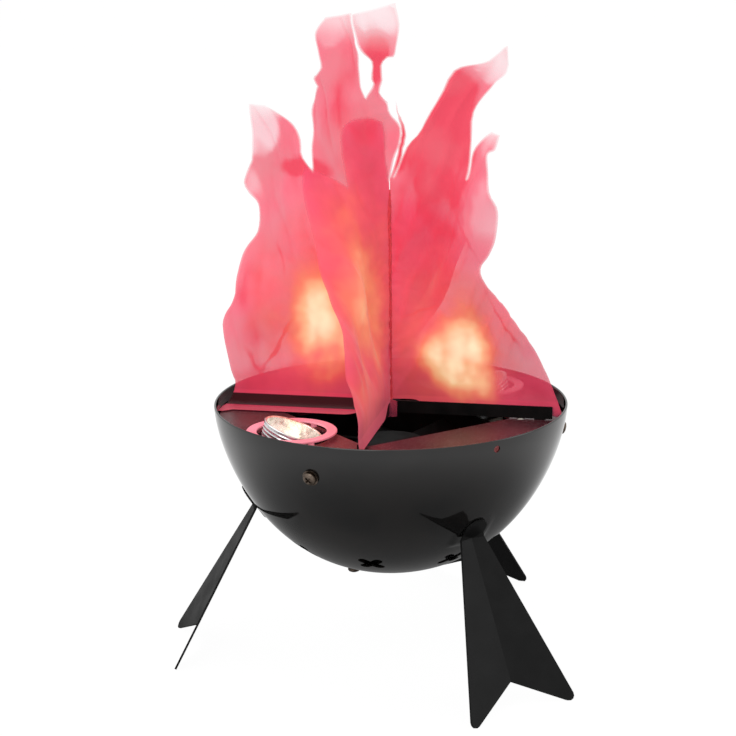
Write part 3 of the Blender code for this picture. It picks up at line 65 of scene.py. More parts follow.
BULB_R, BULB_TOP, BULB_BARREL, BULB_NECK = 4.5 * MM, 0.5 * MM, 9 * MM, 2 * MM
STEM_R, HOLDER_H = 2.6 * MM, 6.3 * MM
FLAME_H, FOOT, SEAM_R, SEAM_TOP = 222 * MM, 92 * MM, 1.0 * MM, 120 * MM
CLOTH_T, HEM_LIFT, HEM_LAP, HEM_HOLD, FOLD = 0.6 * MM, 0.8 * MM, 5.2 * MM, 9 * MM, 5 * MM
HEM_CLEAR, HEM_RUN = 12 * MM, 12 * MM   # where the hem starts to go down, and over what distance
LAP_RUN, LAP_FADE, FOLD_FADE = 10 * MM, 25 * MM, 45 * MM
LEG_AZIMUTHS = {"front": 0.0, "left": -2 * pi / 3, "right": 2 * pi / 3}

UV_PER_M = 10               # the silk's texture coordinates for each metre of flat cloth


# ---- shader nodes

def put(tree, node, **sockets):
    """Gives a node's inputs a number, a colour or another node's output. i0 is the first."""
    for key, value in sockets.items():
        name = key.replace("_", " ")
        socket = node.inputs[int(name[1:]) if name[0] == "i" and name[1:].isdigit() else name]
        if isinstance(value, bpy.types.NodeSocket):
            tree.links.new(value, socket)
        else:
            socket.default_value = (*value, 1) if socket.type == "RGBA" else value


def add_node(tree, kind, props=None, **sockets):
    """A shader node with its properties and inputs."""
    made = tree.nodes.new("ShaderNode" + kind)
    for key, value in (props or {}).items():
        setattr(made, key, value)
    put(tree, made, **sockets)
    return made


def new_material(name, **shader):
    """A Principled material, its tree and its shader."""
    mat = bpy.data.materials.new(name)
    mat.use_nodes = True
    tree = mat.node_tree
    bsdf = tree.nodes["Principled BSDF"]
    put(tree, bsdf, **shader)
    return mat, tree, bsdf


def vector_maths(tree, operation, a, b=(0, 0, 0), **more):
    """The result of one sum with vectors, a number where it is a length or a dot product."""
    made = add_node(tree, "VectorMath", {"operation": operation}, i0=a, i1=b, **more)
    return made.outputs[1 if operation in ("LENGTH", "DOT_PRODUCT") else 0]


def place_of(tree):
    """Where on the object a point is."""
    return add_node(tree, "TexCoord").outputs["Object"]


def spots(tree, where, scale, detail, stretch=None):
    """Noise over the surface, 0 to 1."""
    if stretch:
        where = vector_maths(tree, "MULTIPLY", where, stretch)
    return add_node(tree, "TexNoise", Vector=where, Scale=scale, Detail=detail).outputs[0]


def mix_colour(tree, share, low, high):
    """Blend of two colours, each a value or another node's output."""
    return add_node(tree, "Mix", {"data_type": "RGBA"}, i0=share, i6=low, i7=high).outputs[2]


def span(tree, value, a, b, c, d):
    """Maps a value smoothly from the range a to b onto the range c to d."""
    return add_node(tree, "MapRange", {"interpolation_type": "SMOOTHSTEP"}, Value=value,
                    i1=a, i2=b, i3=c, i4=d).outputs[0]


def ramp(tree, factor, low, high, start=0.35, end=0.65):
    """Blend of two colours by a factor, between two of its values."""
    return mix_colour(tree, span(tree, factor, start, end, 0.0, 1.0), low, high)


def maths(tree, operation, a, b=0.0):
    """The result of one sum. Each side is a number or another node's output."""
    return add_node(tree, "Math", {"operation": operation}, i0=a, i1=b).outputs[0]


def times(tree, a, b):
    """The product of two."""
    return maths(tree, "MULTIPLY", a, b)


def plus(tree, a, b):
    """The sum of two."""
    return maths(tree, "ADD", a, b)


def rest_of(tree, share):
    """What is left of 1."""
    return maths(tree, "SUBTRACT", 1.0, share)


def bump(tree, bsdf, height, strength, distance, under=None):
    """Relief of a surface, on top of another relief where one is given."""
    made = add_node(tree, "Bump", Height=height, Strength=strength, Distance=distance)
    if under:
        put(tree, made, Normal=under)
    put(tree, bsdf, Normal=made.outputs[0])
    return made.outputs[0]


def finish(name, colour, other, rough, scale, grain, depth, speck=None, stretch=None,
           dents=None, **shader):
    """A finish with blotches of a second colour, uneven roughness, a fine grain and, where
    asked for, the shallow dents of pressed sheet."""
    mat, tree, bsdf = new_material(name, **shader)
    where = place_of(tree)
    blotch = spots(tree, where, scale, 4.0, stretch=stretch)
    colours = ramp(tree, blotch, colour, other)
    if speck:
        dust = spots(tree, where, speck[0], 1.0)
        colours = mix_colour(tree, span(tree, dust, speck[1], speck[1] + 0.05, 0, speck[2]),
                             colours, speck[3])
    put(tree, bsdf, Base_Color=colours, Roughness=span(tree, blotch, 0.3, 0.7, *rough))
    under = dents and bump(tree, bsdf, spots(tree, where, dents[0], 1.0), dents[1], 0.5 * MM)
    bump(tree, bsdf, spots(tree, where, grain, 2.0, stretch=stretch), depth, 0.2 * MM, under)
    return mat


MATS = {
    "bowl": finish("gloss_black_enamel", (0.004, 0.0038, 0.0038), (0.008, 0.007, 0.0065),
                   (0.04, 0.09), 30, 420, 0.01, dents=(26, 0.9), Specular_IOR_Level=0.5),
    "leg": finish("matte_black_powder_coat", (0.004, 0.004, 0.004), (0.007, 0.007, 0.007),
                  (0.45, 0.58), 70, 1500, 0.12, Specular_IOR_Level=0.13),
    # dark paint with specks of dust; its red tint is partly painted red light from the lit silk
    "plate": finish("plate_paint_dust_and_painted_red_light", (0.035, 0.008, 0.013), (0.2, 0.036, 0.044),
                    (0.34, 0.5), 11, 1300, 0.1, speck=(2100, 0.66, 0.7, (0.7, 0.6, 0.62)),
                    Specular_IOR_Level=0.3),
    # pink paint, its pink partly painted red light from the lit silk, and a painted glow as its
    # emission
    "ring": finish("ring_paint_and_painted_glow", (0.86, 0.28, 0.36), (0.93, 0.34, 0.43), (0.3, 0.42), 90,
                   1300, 0.08, Emission_Color=(0.26, 0.08, 0.1), Emission_Strength=1.0),
    "strip": finish("strip_paint", (0.003, 0.003, 0.003), (0.006, 0.005, 0.005), (0.4, 0.55),
                    90, 1500, 0.1, Specular_IOR_Level=0.1),
    "zinc": finish("zinc_plated_steel", (0.3, 0.25, 0.21), (0.42, 0.37, 0.32), (0.28, 0.42),
                   400, 2500, 0.08, Metallic=1.0),
    "bronze": finish("bronzed_steel", (0.075, 0.055, 0.042), (0.16, 0.125, 0.1), (0.25, 0.4),
                     500, 2500, 0.08, Metallic=1.0),
    "steel": finish("laminated_steel", (0.35, 0.34, 0.33), (0.5, 0.49, 0.47), (0.3, 0.45),
                    200, 1800, 0.1, stretch=(1, 1, 8), Metallic=1.0),
    "plastic": finish("moulded_black_plastic", (0.002, 0.002, 0.002), (0.004, 0.004, 0.004),
                      (0.5, 0.62), 90, 2200, 0.06, Specular_IOR_Level=0.05),
    "alu": finish("brushed_aluminium", (0.62, 0.62, 0.62), (0.8, 0.8, 0.8), (0.2, 0.34),
                  250, 2600, 0.12, stretch=(1, 1, 14), Metallic=1.0),
    "porcelain": finish("white_porcelain", (0.7, 0.68, 0.62), (0.8, 0.78, 0.73), (0.3, 0.4),
                        150, 2000, 0.04),
    "copper": finish("enamelled_copper", (0.45, 0.13, 0.05), (0.62, 0.22, 0.09), (0.25, 0.4),
                     300, 1200, 0.3, stretch=(1, 1, 10), Metallic=0.8),
    "brass": finish("turned_brass", (0.6, 0.42, 0.14), (0.75, 0.55, 0.22), (0.22, 0.35), 300,
                    2200, 0.08, Metallic=1.0),
    "board": finish("circuit_board", (0.015, 0.13, 0.04), (0.025, 0.19, 0.06), (0.35, 0.5),
                    300, 2000, 0.1),
    "ferrite": finish("ferrite", (0.04, 0.04, 0.045), (0.07, 0.07, 0.075), (0.5, 0.65), 300,
                      1800, 0.1),
    "rubber": finish("black_rubber", (0.012, 0.012, 0.012), (0.022, 0.022, 0.022),
                     (0.65, 0.8), 200, 1800, 0.12),
}


def lamp_glass():
    """The lit lamp: warm white, blotched with yellow."""
    mat, tree, bsdf = new_material("lit_lamp_glass", Roughness=0.12, Emission_Strength=1.3)
    blotch = spots(tree, place_of(tree), 160, 2.0)
    colours = ramp(tree, blotch, (1.0, 0.8, 0.5), (1.0, 0.93, 0.76))
    put(tree, bsdf, Base_Color=colours, Emission_Color=colours)
    return mat


def reflector():
    """Aluminium that is bright where the lamp lights it, inside the can."""
    mat, tree, bsdf = new_material("lit_reflector", Metallic=1.0, Emission_Strength=0.25)
    where = place_of(tree)
    blotch = spots(tree, where, 320, 3.0)
    put(tree, bsdf, Roughness=span(tree, blotch, 0.3, 0.7, 0.12, 0.3),
        Base_Color=ramp(tree, blotch, (0.7, 0.66, 0.62), (0.9, 0.88, 0.85)),
        Emission_Color=ramp(tree, blotch, (0.3, 0.24, 0.2), (0.9, 0.84, 0.76), 0.3, 0.62))
    bump(tree, bsdf, spots(tree, where, 500, 2.0), 0.4, 0.3 * MM)
    return mat


MATS["glass"] = lamp_glass()
MATS["reflector"] = reflector()


# ---- mesh helpers

def skin(bm, low, high, closed=True):
    """Faces between two rows of points, of which one may be a single point."""
    count = max(len(low), len(high))
    for i in range(count if closed else count - 1):
        j = (i + 1) % count
        below = (low[i], low[j]) if len(low) > 1 else (low[0],)
        above = (high[j], high[i]) if len(high) > 1 else (high[0],)
        bm.faces.new(below + above)


def turned(bm, profile, steps, place=Matrix()):
    """Turns (radius, height) points about Z, closing on the axis or on itself."""
    rings = []
    for r, z in profile:
        turns = [2 * pi * i / steps for i in range(steps if r > 1e-9 else 1)]
        rings.append([bm.verts.new(place @ Vector((r * cos(a), r * sin(a), z)))
                      for a in turns])
    for low, high in zip(rings, rings[1:]):
        skin(bm, low, high)
    if profile[0][0] > 1e-9:
        skin(bm, rings[-1], rings[0])


def prism(bm, outline, low, high, place=Matrix()):
    """Raises a flat outline from one height to another."""
    bottom = [bm.verts.new(place @ Vector((x, y, low))) for x, y in outline]
    top = [bm.verts.new(place @ Vector((x, y, high))) for x, y in outline]
    bm.faces.new(bottom[::-1])
    bm.faces.new(top)
    skin(bm, bottom, top)


def spun(points, turn):
    """Flat points turned about the origin."""
    c, s = cos(turn), sin(turn)
    return [(c * x - s * y, s * x + c * y) for x, y in points]


def cross_outline(width, arm):
    """Outline of an X with round-ended arms."""
    points, steps = [], 8
    half, reach = arm / 2, (width - arm) / 2
    for k in range(4):
        ends = [(reach + half * sin(pi * i / steps),
                 -half * cos(pi * i / steps)) for i in range(steps + 1)]
        points += spun([(half, -half)] + ends, pi / 4 + k * pi / 2)
    return points


def add_object(name, data):
    """An object of the scene. Its data may be a bmesh, which becomes its mesh."""
    if isinstance(data, bmesh.types.BMesh):
        mesh = bpy.data.meshes.new(name)
        data.to_mesh(mesh)
        data.free()
        data = mesh
    ob = bpy.data.objects.new(name, data)
    bpy.context.scene.collection.objects.link(ob)
    return ob


def finish_piece(name, bm, mat, body="frame", replaces=(), place=Matrix(), crisp=35):
    """Turns a bmesh into a piece that rides on a body."""
    bmesh.ops.recalc_face_normals(bm, faces=bm.faces)
    ob = add_object(name, bm)
    ob.data.transform(place)
    ob.data.materials.append(mat)
    ob.data.shade_smooth()
    ob.data.set_sharp_from_angle(angle=radians(crisp))
    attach(ob, body)
    if replaces:
        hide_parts(*replaces)
    return ob


def cut_from(ob, bm, crisp):
    """Cuts a bmesh's bodies out of a piece and keeps the result as its mesh."""
    bmesh.ops.recalc_face_normals(bm, faces=bm.faces)
    tool = add_object("cutter", bm)
    mod = ob.modifiers.new("cut", "BOOLEAN")
    mod.operation, mod.solver, mod.object = "DIFFERENCE", "EXACT", tool
    bpy.context.view_layer.update()
    made = bpy.data.meshes.new_from_object(
        ob.evaluated_get(bpy.context.evaluated_depsgraph_get()))
    ob.modifiers.clear()
    old, ob.data = ob.data, made
    made.shade_smooth()
    made.set_sharp_from_angle(angle=radians(crisp))
    bpy.data.objects.remove(tool)
    bpy.data.meshes.remove(old)


# ---- bowl

def bowl_radius(z, inset=0.0):
    """Radius of the bowl's face at a height, the inner one where an inset is given."""
    fall = min(max((RIM_Z - z) / (BOWL_DEPTH - inset), 0.0), 1.0)
    return (RIM_R - inset) * (1 - fall ** SQUARE_Z) ** (1 / SQUARE_R)


def bowl_height(r):
    """Height of the bowl's outer face at a radius."""
    out = min(r / RIM_R, 1.0)
    return RIM_Z - BOWL_DEPTH * (1 - out ** SQUARE_R) ** (1 / SQUARE_Z)


def bowl_frame(azimuth, z):
    """Frame on the bowl's outer face: X along the rim, Y up the wall, Z straight out."""
    step = 0.5 * MM
    slope = (bowl_radius(z + step) - bowl_radius(z - step)) / (2 * step)
    out = Vector((sin(azimuth), -cos(azimuth), 0))
    rimward = Vector((cos(azimuth), sin(azimuth), 0))
    normal = (out - slope * Vector((0, 0, 1))).normalized()
    place = Matrix((rimward, normal.cross(rimward), normal)).transposed().to_4x4()
    place.translation = out * bowl_radius(z) + Vector((0, 0, z))
    return place


def smooth(x):
    """Eases from 0 to 1."""
    x = min(max(x, 0.0), 1.0)
    return x * x * (3 - 2 * x)


def bowl_profile(rows):
    """The wall's (radius, height) points, up the outer face, round the lip and down inside."""
    turns = [pi / 2 * (k / rows) ** 1.1 for k in range(1, rows)]

    def side(inset, t):
        return ((RIM_R - inset) * cos(t) ** (2 / SQUARE_R),
                RIM_Z - (BOWL_DEPTH - inset) * sin(t) ** (2 / SQUARE_Z))

    half = BOWL_WALL / 2
    lip = [(RIM_R - half + half * cos(a), RIM_Z - half + half * sin(a))
           for a in [pi * k / 8 for k in range(9)]]
    under = lip[0][1] - 0.3 * MM
    profile = [(0, RIM_Z - BOWL_DEPTH)]
    profile += [p for p in (side(0, t) for t in reversed(turns)) if p[1] < under] + lip
    profile += [p for p in (side(BOWL_WALL, t) for t in turns) if p[1] < under]
    return profile + [(0, RIM_Z - BOWL_DEPTH + BOWL_WALL)]


def press_flats(bm):
    """Presses a round-topped flat into the wall behind each leg's tongue."""
    flat_half, flat_top, flat_low, edge = 9.4 * MM, 9.6 * MM, -13 * MM, 2.6 * MM
    near = (20 * MM, 22 * MM, 9 * MM)       # the box round a flat, beyond which nothing moves
    pads = [bowl_frame(a, RIM_Z - TONGUE_DROP) for a in LEG_AZIMUTHS.values()]
    for v in bm.verts:
        for pad in pads:
            at = pad.inverted() @ v.co
            if any(abs(at[k]) > near[k] for k in range(3)):
                continue
            up = max(at.y - (flat_top - flat_half), 0)
            out = hypot(at.x, up) - flat_half
            out = max(out, flat_low - at.y)
            share = 1 - smooth(out / edge)
            outer = hypot(*v.co.xy) > bowl_radius(v.co.z, BOWL_WALL / 2)
            curve = -at.z if outer else -BOWL_WALL - at.z
            v.co = pad @ Vector((at.x, at.y, at.z + curve * share))


def make_bowl():
    """The spun bowl with its rolled edge, vents, holes and the flats pressed for the legs."""
    bm = bmesh.new()
    turned(bm, bowl_profile(72), 300)
    press_flats(bm)
    bowl = finish_piece("bowl_spun", bm, MATS["bowl"], "frame", ["bowl_shell"], AXIS, 40)
    cutter = bmesh.new()
    reach = 4 * BOWL_WALL

    def drill(radius, steps, azimuth, drop):
        turned(cutter, [(0, -reach), (radius, -reach), (radius, reach), (0, reach)], steps,
               AXIS @ bowl_frame(azimuth, RIM_Z - drop))

    for k in range(VENT_COUNT):
        place = AXIS @ bowl_frame(k * 2 * pi / VENT_COUNT, bowl_height(VENT_R))
        prism(cutter, cross_outline(VENT_SPAN, VENT_ARM), -reach, reach, place)
    for azimuth in LEG_AZIMUTHS.values():
        drill(HANG_HOLE_R, 24, azimuth, HANG_HOLE_DROP)
    drill(GROMMET_HOLE_R, 32, pi, GROMMET_DROP)
    cut_from(bowl, cutter, 40)


# ---- silk

# The wings. A width is a share of FOOT from the seam, and a height a share of FLAME_H over the rim.
#   azimuth, twist  degrees: where the foot points, and how far the top turns away from it
#   fade, fray      mm over which the edges thin out, and how much of the cloth is gone there
#   droop, skirt    how far the hem's outer corner sags, and the cloth hangs on below the hem
#   folds           phases of the two large waves
#   shades          True where the strip behind the cloth darkens it
#   edge, seam      the outer edge from the hem up, and the height where the seam side ends
#   tongues         columns, the outer and the inner edge, and any tongues on top
#   tones           centre, half width, half height and depth of darker or thinner cloth
#   creases         both ends and depth of the painted shade along a crease
#   glows           centre, half width, half height and strength of the lamps' light
PANELS = {
    "left": {
        "azimuth": -135, "twist": -14, "fade": 1.6, "fray": 0.6, "droop": 4 * MM,
        "skirt": 11.5 * MM, "folds": (0.15, 0.55), "shades": True,
        "edge": [(1.06, 0), (1.0, 0.03), (0.985, 0.055), (1.01, 0.08), (1.06, 0.17),
                 (1.06, 0.21), (0.99, 0.265), (0.95, 0.365), (0.88, 0.42), (0.9, 0.48),
                 (0.98, 0.51), (1.02, 0.54), (0.98, 0.59)],
        "seam": 0.56,
        "tongues": [
            ((7, 12), [(0.97, 0.64), (0.97, 0.735)],
             [(0.58, 0.61), (0.61, 0.65), (0.67, 0.69), (0.78, 0.72), (0.86, 0.735)]),
            ((0, 7), [(0.53, 0.66), (0.54, 0.745), (0.49, 0.79)],
             [(-0.03, 0.62), (-0.07, 0.66), (-0.07, 0.7), (-0.01, 0.73), (0.01, 0.76)],
             ((2, 7), [(0.51, 0.81), (0.46, 0.835), (0.48, 0.87), (0.5, 0.92), (0.44, 0.96)],
              [(0.18, 0.8), (0.19, 0.84), (0.185, 0.875), (0.212, 0.9), (0.232, 0.93),
               (0.256, 0.972)]),
             ((0, 2), [(0.1, 0.8), (0.115, 0.82), (0.11, 0.855), (0.17, 0.882), (0.224, 0.925),
                       (0.25, 0.968)],
              [(0.06, 0.78), (0.04, 0.81), (0.045, 0.85), (0.0, 0.868), (-0.055, 0.876),
               (-0.068, 0.94), (-0.04, 1.0)]))],
        "tones": [(0.92, 0.69, 0.22, 0.1, -0.9), (0.55, 0.585, 0.24, 0.035, 0.9),
                  (0.42, 0.93, 0.2, 0.06, -0.5), (0.07, 0.86, 0.12, 0.1, 1.0),
                  (0.05, 0.965, 0.24, 0.06, -0.9), (0.28, 0.8, 0.12, 0.16, 0.35),
                  (0.3, 0.7, 0.2, 0.1, 0.3), (0.98, 0.53, 0.14, 0.07, -0.5),
                  (0.88, 0.24, 0.1, 0.22, 0.25), (0.58, 0.045, 0.62, 0.055, 0.55)],
        "crease_shades": [(0.82, 0.06, 0.57, 0.225, 0.8), (0.57, 0.225, 0.44, 0.25, 0.6),
                    (0.91, 0.12, 0.82, 0.06, 0.5), (0.72, 0.4, 0.66, 0.3, 0.35)],
        "glows": [(0.42, 0.175, 0.31, 0.17, 0.68), (0.48, 0.25, 0.6, 0.28, 0.4)]},
    "right": {
        "azimuth": 45, "twist": -14, "fade": 1.6, "fray": 0.6, "droop": 7 * MM,
        "skirt": 0, "folds": (0.65, 0.2), "shades": False,
        "edge": [(1.065, 0), (1.06, 0.02), (1.01, 0.065), (0.86, 0.19), (0.75, 0.255),
                 (0.63, 0.305), (0.58, 0.355), (0.64, 0.395), (0.68, 0.435), (0.7, 0.505),
                 (0.66, 0.55), (0.65, 0.585)],
        "seam": 0.575,
        "tongues": [
            ((10, 12), [(0.64, 0.64), (0.68, 0.655), (0.7, 0.69)],
             [(0.54, 0.645), (0.6, 0.68), (0.65, 0.697)]),
            ((1, 10), [(0.53, 0.66), (0.53, 0.745), (0.66, 0.81), (0.74, 0.845), (0.75, 0.905)],
             [(0.12, 0.65), (0.23, 0.7), (0.34, 0.78), (0.42, 0.845), (0.6, 0.865),
              (0.72, 0.9)]),
            ((0, 1), [(0.09, 0.63), (0.12, 0.69), (0.07, 0.745)],
             [(0.05, 0.63), (0.085, 0.69), (0.045, 0.765)])],
        "tones": [(0.33, 0.66, 0.3, 0.22, 1.0), (0.42, 0.78, 0.2, 0.12, 0.9),
                  (0.64, 0.85, 0.2, 0.07, -0.8), (0.66, 0.66, 0.1, 0.06, -0.4),
                  (0.64, 0.5, 0.14, 0.12, -0.4), (0.08, 0.7, 0.08, 0.12, 0.9),
                  (0.2, 0.42, 0.26, 0.18, 0.35)],
        "crease_shades": [(0.07, 0.22, 0.3, 0.25, 0.5), (0.25, 0.2, 0.15, 0.08, 0.6),
                    (0.6, 0.3, 0.86, 0.12, 0.5), (0.44, 0.5, 0.6, 0.36, 0.3)],
        "glows": [(0.43, 0.125, 0.31, 0.145, 0.84), (0.585, 0.045, 0.15, 0.07, 0.5),
                  (0.36, 0.15, 0.58, 0.3, 0.36)]},
    "front": {
        "azimuth": -45, "twist": -55, "fade": 1.8, "fray": 0.6, "droop": 0,
        "skirt": 0, "folds": (0.4, 0.8), "shades": False,
        "edge": [(1.0, 0), (1.05, 0.03), (1.04, 0.065), (0.93, 0.13), (0.83, 0.21), (0.69, 0.29),
                 (0.63, 0.37), (0.58, 0.46), (0.56, 0.555)],
        "seam": 0.565,
        "tongues": [
            ((7, 12), [(0.55, 0.59), (0.53, 0.615)], [(0.36, 0.58), (0.47, 0.605)]),
            ((0, 7), [(0.31, 0.64), (0.3, 0.7), (0.24, 0.722), (0.18, 0.727)],
             [(0.02, 0.64), (0.03, 0.7), (0.07, 0.718), (0.13, 0.727)])],
        "tones": [(0.17, 0.69, 0.16, 0.06, 0.4), (0.75, 0.1, 0.5, 0.1, 0.35)],
        "crease_shades": [(0.3, 0.5, 0.2, 0.3, 0.35), (0.62, 0.2, 0.8, 0.05, 0.4)],
        "glows": [(0.36, 0.32, 0.55, 0.36, 0.5), (0.26, 0.24, 0.3, 0.2, 0.25),
                  (0.72, 0.09, 0.4, 0.13, 0.28)]},
    "back": {
        "azimuth": 135, "twist": -55, "fade": 22.0, "fray": 0.9, "droop": 0,
        "skirt": 0, "folds": (0.9, 0.35), "shades": False,
        "edge": [(1.0, 0), (0.97, 0.1), (0.92, 0.22), (0.86, 0.33), (0.7, 0.42), (0.52, 0.5),
                 (0.43, 0.55)],
        "seam": 0.55,
        "tongues": [
            ((7, 12), [(0.42, 0.58), (0.38, 0.6)], [(0.27, 0.575), (0.32, 0.595)]),
            ((0, 7), [(0.22, 0.6), (0.16, 0.64)], [(0.03, 0.6), (0.07, 0.64)])],
        "tones": [], "crease_shades": [],
        "glows": [(0.5, 0.22, 0.36, 0.25, 0.6)]},
}
FINE = 4                    # columns and rows for each one of the CAD panel's
PANEL_COLS, BODY_ROWS, TONGUE_ROWS, SKIRT_ROWS = 12 * FINE, 14 * FINE, 5 * FINE, 8
SKIRT_LOW = PLATE_TOP + 0.9 * MM - RIM_Z    # where a long hem meets the plate and lies on it
BEND_R = 0.7 * MM           # how sharply it bends there
TWIST_END = 0.51            # height over the hem at which a wing has turned all the way


def along(points, share):
    """Point at a share of the length of a smooth curve through the given points."""
    lengths = [0.0]
    for a, b in zip(points, points[1:]):
        lengths.append(lengths[-1] + (Vector(b) - Vector(a)).length)
    at = share * lengths[-1]
    k = max(i for i in range(len(points) - 1) if lengths[i] <= at + 1e-12)
    t = (at - lengths[k]) / (lengths[k + 1] - lengths[k])
    p = [Vector(points[min(max(k + d, 0), len(points) - 1)]) for d in (-1, 0, 1, 2)]
    return 0.5 * (2 * p[1] + (p[2] - p[0]) * t + (2 * p[0] - 5 * p[1] + 4 * p[2] - p[3]) * t * t
                  + (3 * p[1] - p[0] - 3 * p[2] + p[3]) * t ** 3)


def hem(width):
    """Height of the hem over the rim, from the seam out: it goes down the strip's side."""
    return HEM_LIFT - (HEM_LIFT + HEM_LAP) * smooth((width - HEM_CLEAR) / HEM_RUN)


def panel_point(panel, width, height):
    """Place of a panel's point from its distance to the seam and its height over the rim."""
    share, rise = width / FOOT, height / FLAME_H
    lap = STRIP_T / 2 + GAP + CLOTH_T / 2 + 0.1 * MM
    bend = (SKIRT_LOW - height) / BEND_R
    lying = BEND_R * (log1p(exp(bend)) if bend < 30 else bend)
    off = lap * smooth(width / LAP_RUN) * (1 - smooth((height - HEM_HOLD) / LAP_FADE))
    one, two = panel["folds"]
    free = smooth(abs(share) / 0.3) * smooth((height - HEM_HOLD) / FOLD_FADE)
    off += FOLD * free * sin(2 * pi * (0.9 * share + 1.3 * rise + one))
    off += 0.45 * FOLD * free * sin(2 * pi * (2.3 * share - 1.6 * rise + two))
    loose = max(height - HEM_HOLD, 0) / FLAME_H
    twist = radians(panel["twist"]) * min(loose / TWIST_END, 1.0) ** 1.5
    turn = radians(panel["azimuth"]) + twist
    out = Vector((sin(turn), -cos(turn), 0))
    side = Vector((cos(turn), sin(turn), 0))
    return out * width + side * (off + lying) + Vector((0, AXIS_Y, RIM_Z + height + lying))


def panel_normal(panel, width, height):
    """Which way a panel faces at a point."""
    step = 0.2 * MM
    across = panel_point(panel, width + step, height) - panel_point(panel, width - step, height)
    up = panel_point(panel, width, height + step) - panel_point(panel, width, height - step)
    return across.cross(up).normalized()


def wrinkle(panel, width, height, loose):
    """How far the blown cloth's smaller folds stand off its main surface. Figures in mm."""
    seed = panel["azimuth"] / 7.0
    w, h = width / MM, height / MM

    def wave(a, b, c):
        return noise.noise(Vector((a + seed, b - seed, c)))

    free = smooth((h - 8) / 30)
    off = 2.2 * wave(w / 26, h / 48, 1.0) * free * smooth(w / 12)
    ridge = 1 - abs(wave((w - 0.45 * h) / 13, (w + h) / 55, 5.0)) * 3.2
    off += 1.1 * max(ridge, 0) * free * smooth(w / 10)
    off += 0.35 * wave(w / 6, h / 11, 9.0) * smooth((h - 3) / 12) * smooth(w / 5)
    pull = exp(-w / 9) * smooth(w / 2.5) * smooth((h - 6) / 12)
    uneven = 0.45 + 0.9 * abs(wave(0, h / 12, 21.0))
    off += 1.1 * pull * uneven * sin(2 * pi * (h / 6.5 + 2.2 * wave(w / 30, h / 15, 3.0)))
    off += 2.6 * loose * smooth((h - 40) / 60) * wave(w / 11, h / 15, 13.0)
    return off * MM


def tone_and_fold_shade_at(panel, width, height):
    """Depth of the cloth's colour: above 0 where it lies double, and as painted shade along the
    ridges of its small folds; below 0 where it is thin.
    """
    w, h = width / MM, height / MM
    share, rise = width / FOOT, height / FLAME_H
    blur = 0.35 * noise.noise(Vector((w / 9, h / 13, panel["azimuth"])))
    total = 0.0
    for u0, v0, a, b, value in panel["tones"]:
        far = hypot((share - u0) / a, (rise - v0) / b) + blur
        total += value * (1 - smooth((far - 0.45) / 0.55))
    seed = panel["azimuth"] / 7.0
    # painted fold shade: the colour deepens along the ridges of the cloth's small folds
    ridge = 1 - abs(noise.noise(Vector(((w - 0.45 * h) / 13 + seed, (w + h) / 55 - seed, 5.0)))) * 5
    free = smooth((h - 6) / 25)
    total += 0.3 * max(ridge, 0) * free
    return total + 0.22 * free * noise.noise(Vector((w / 24 + seed, h / 60, 1.0)))


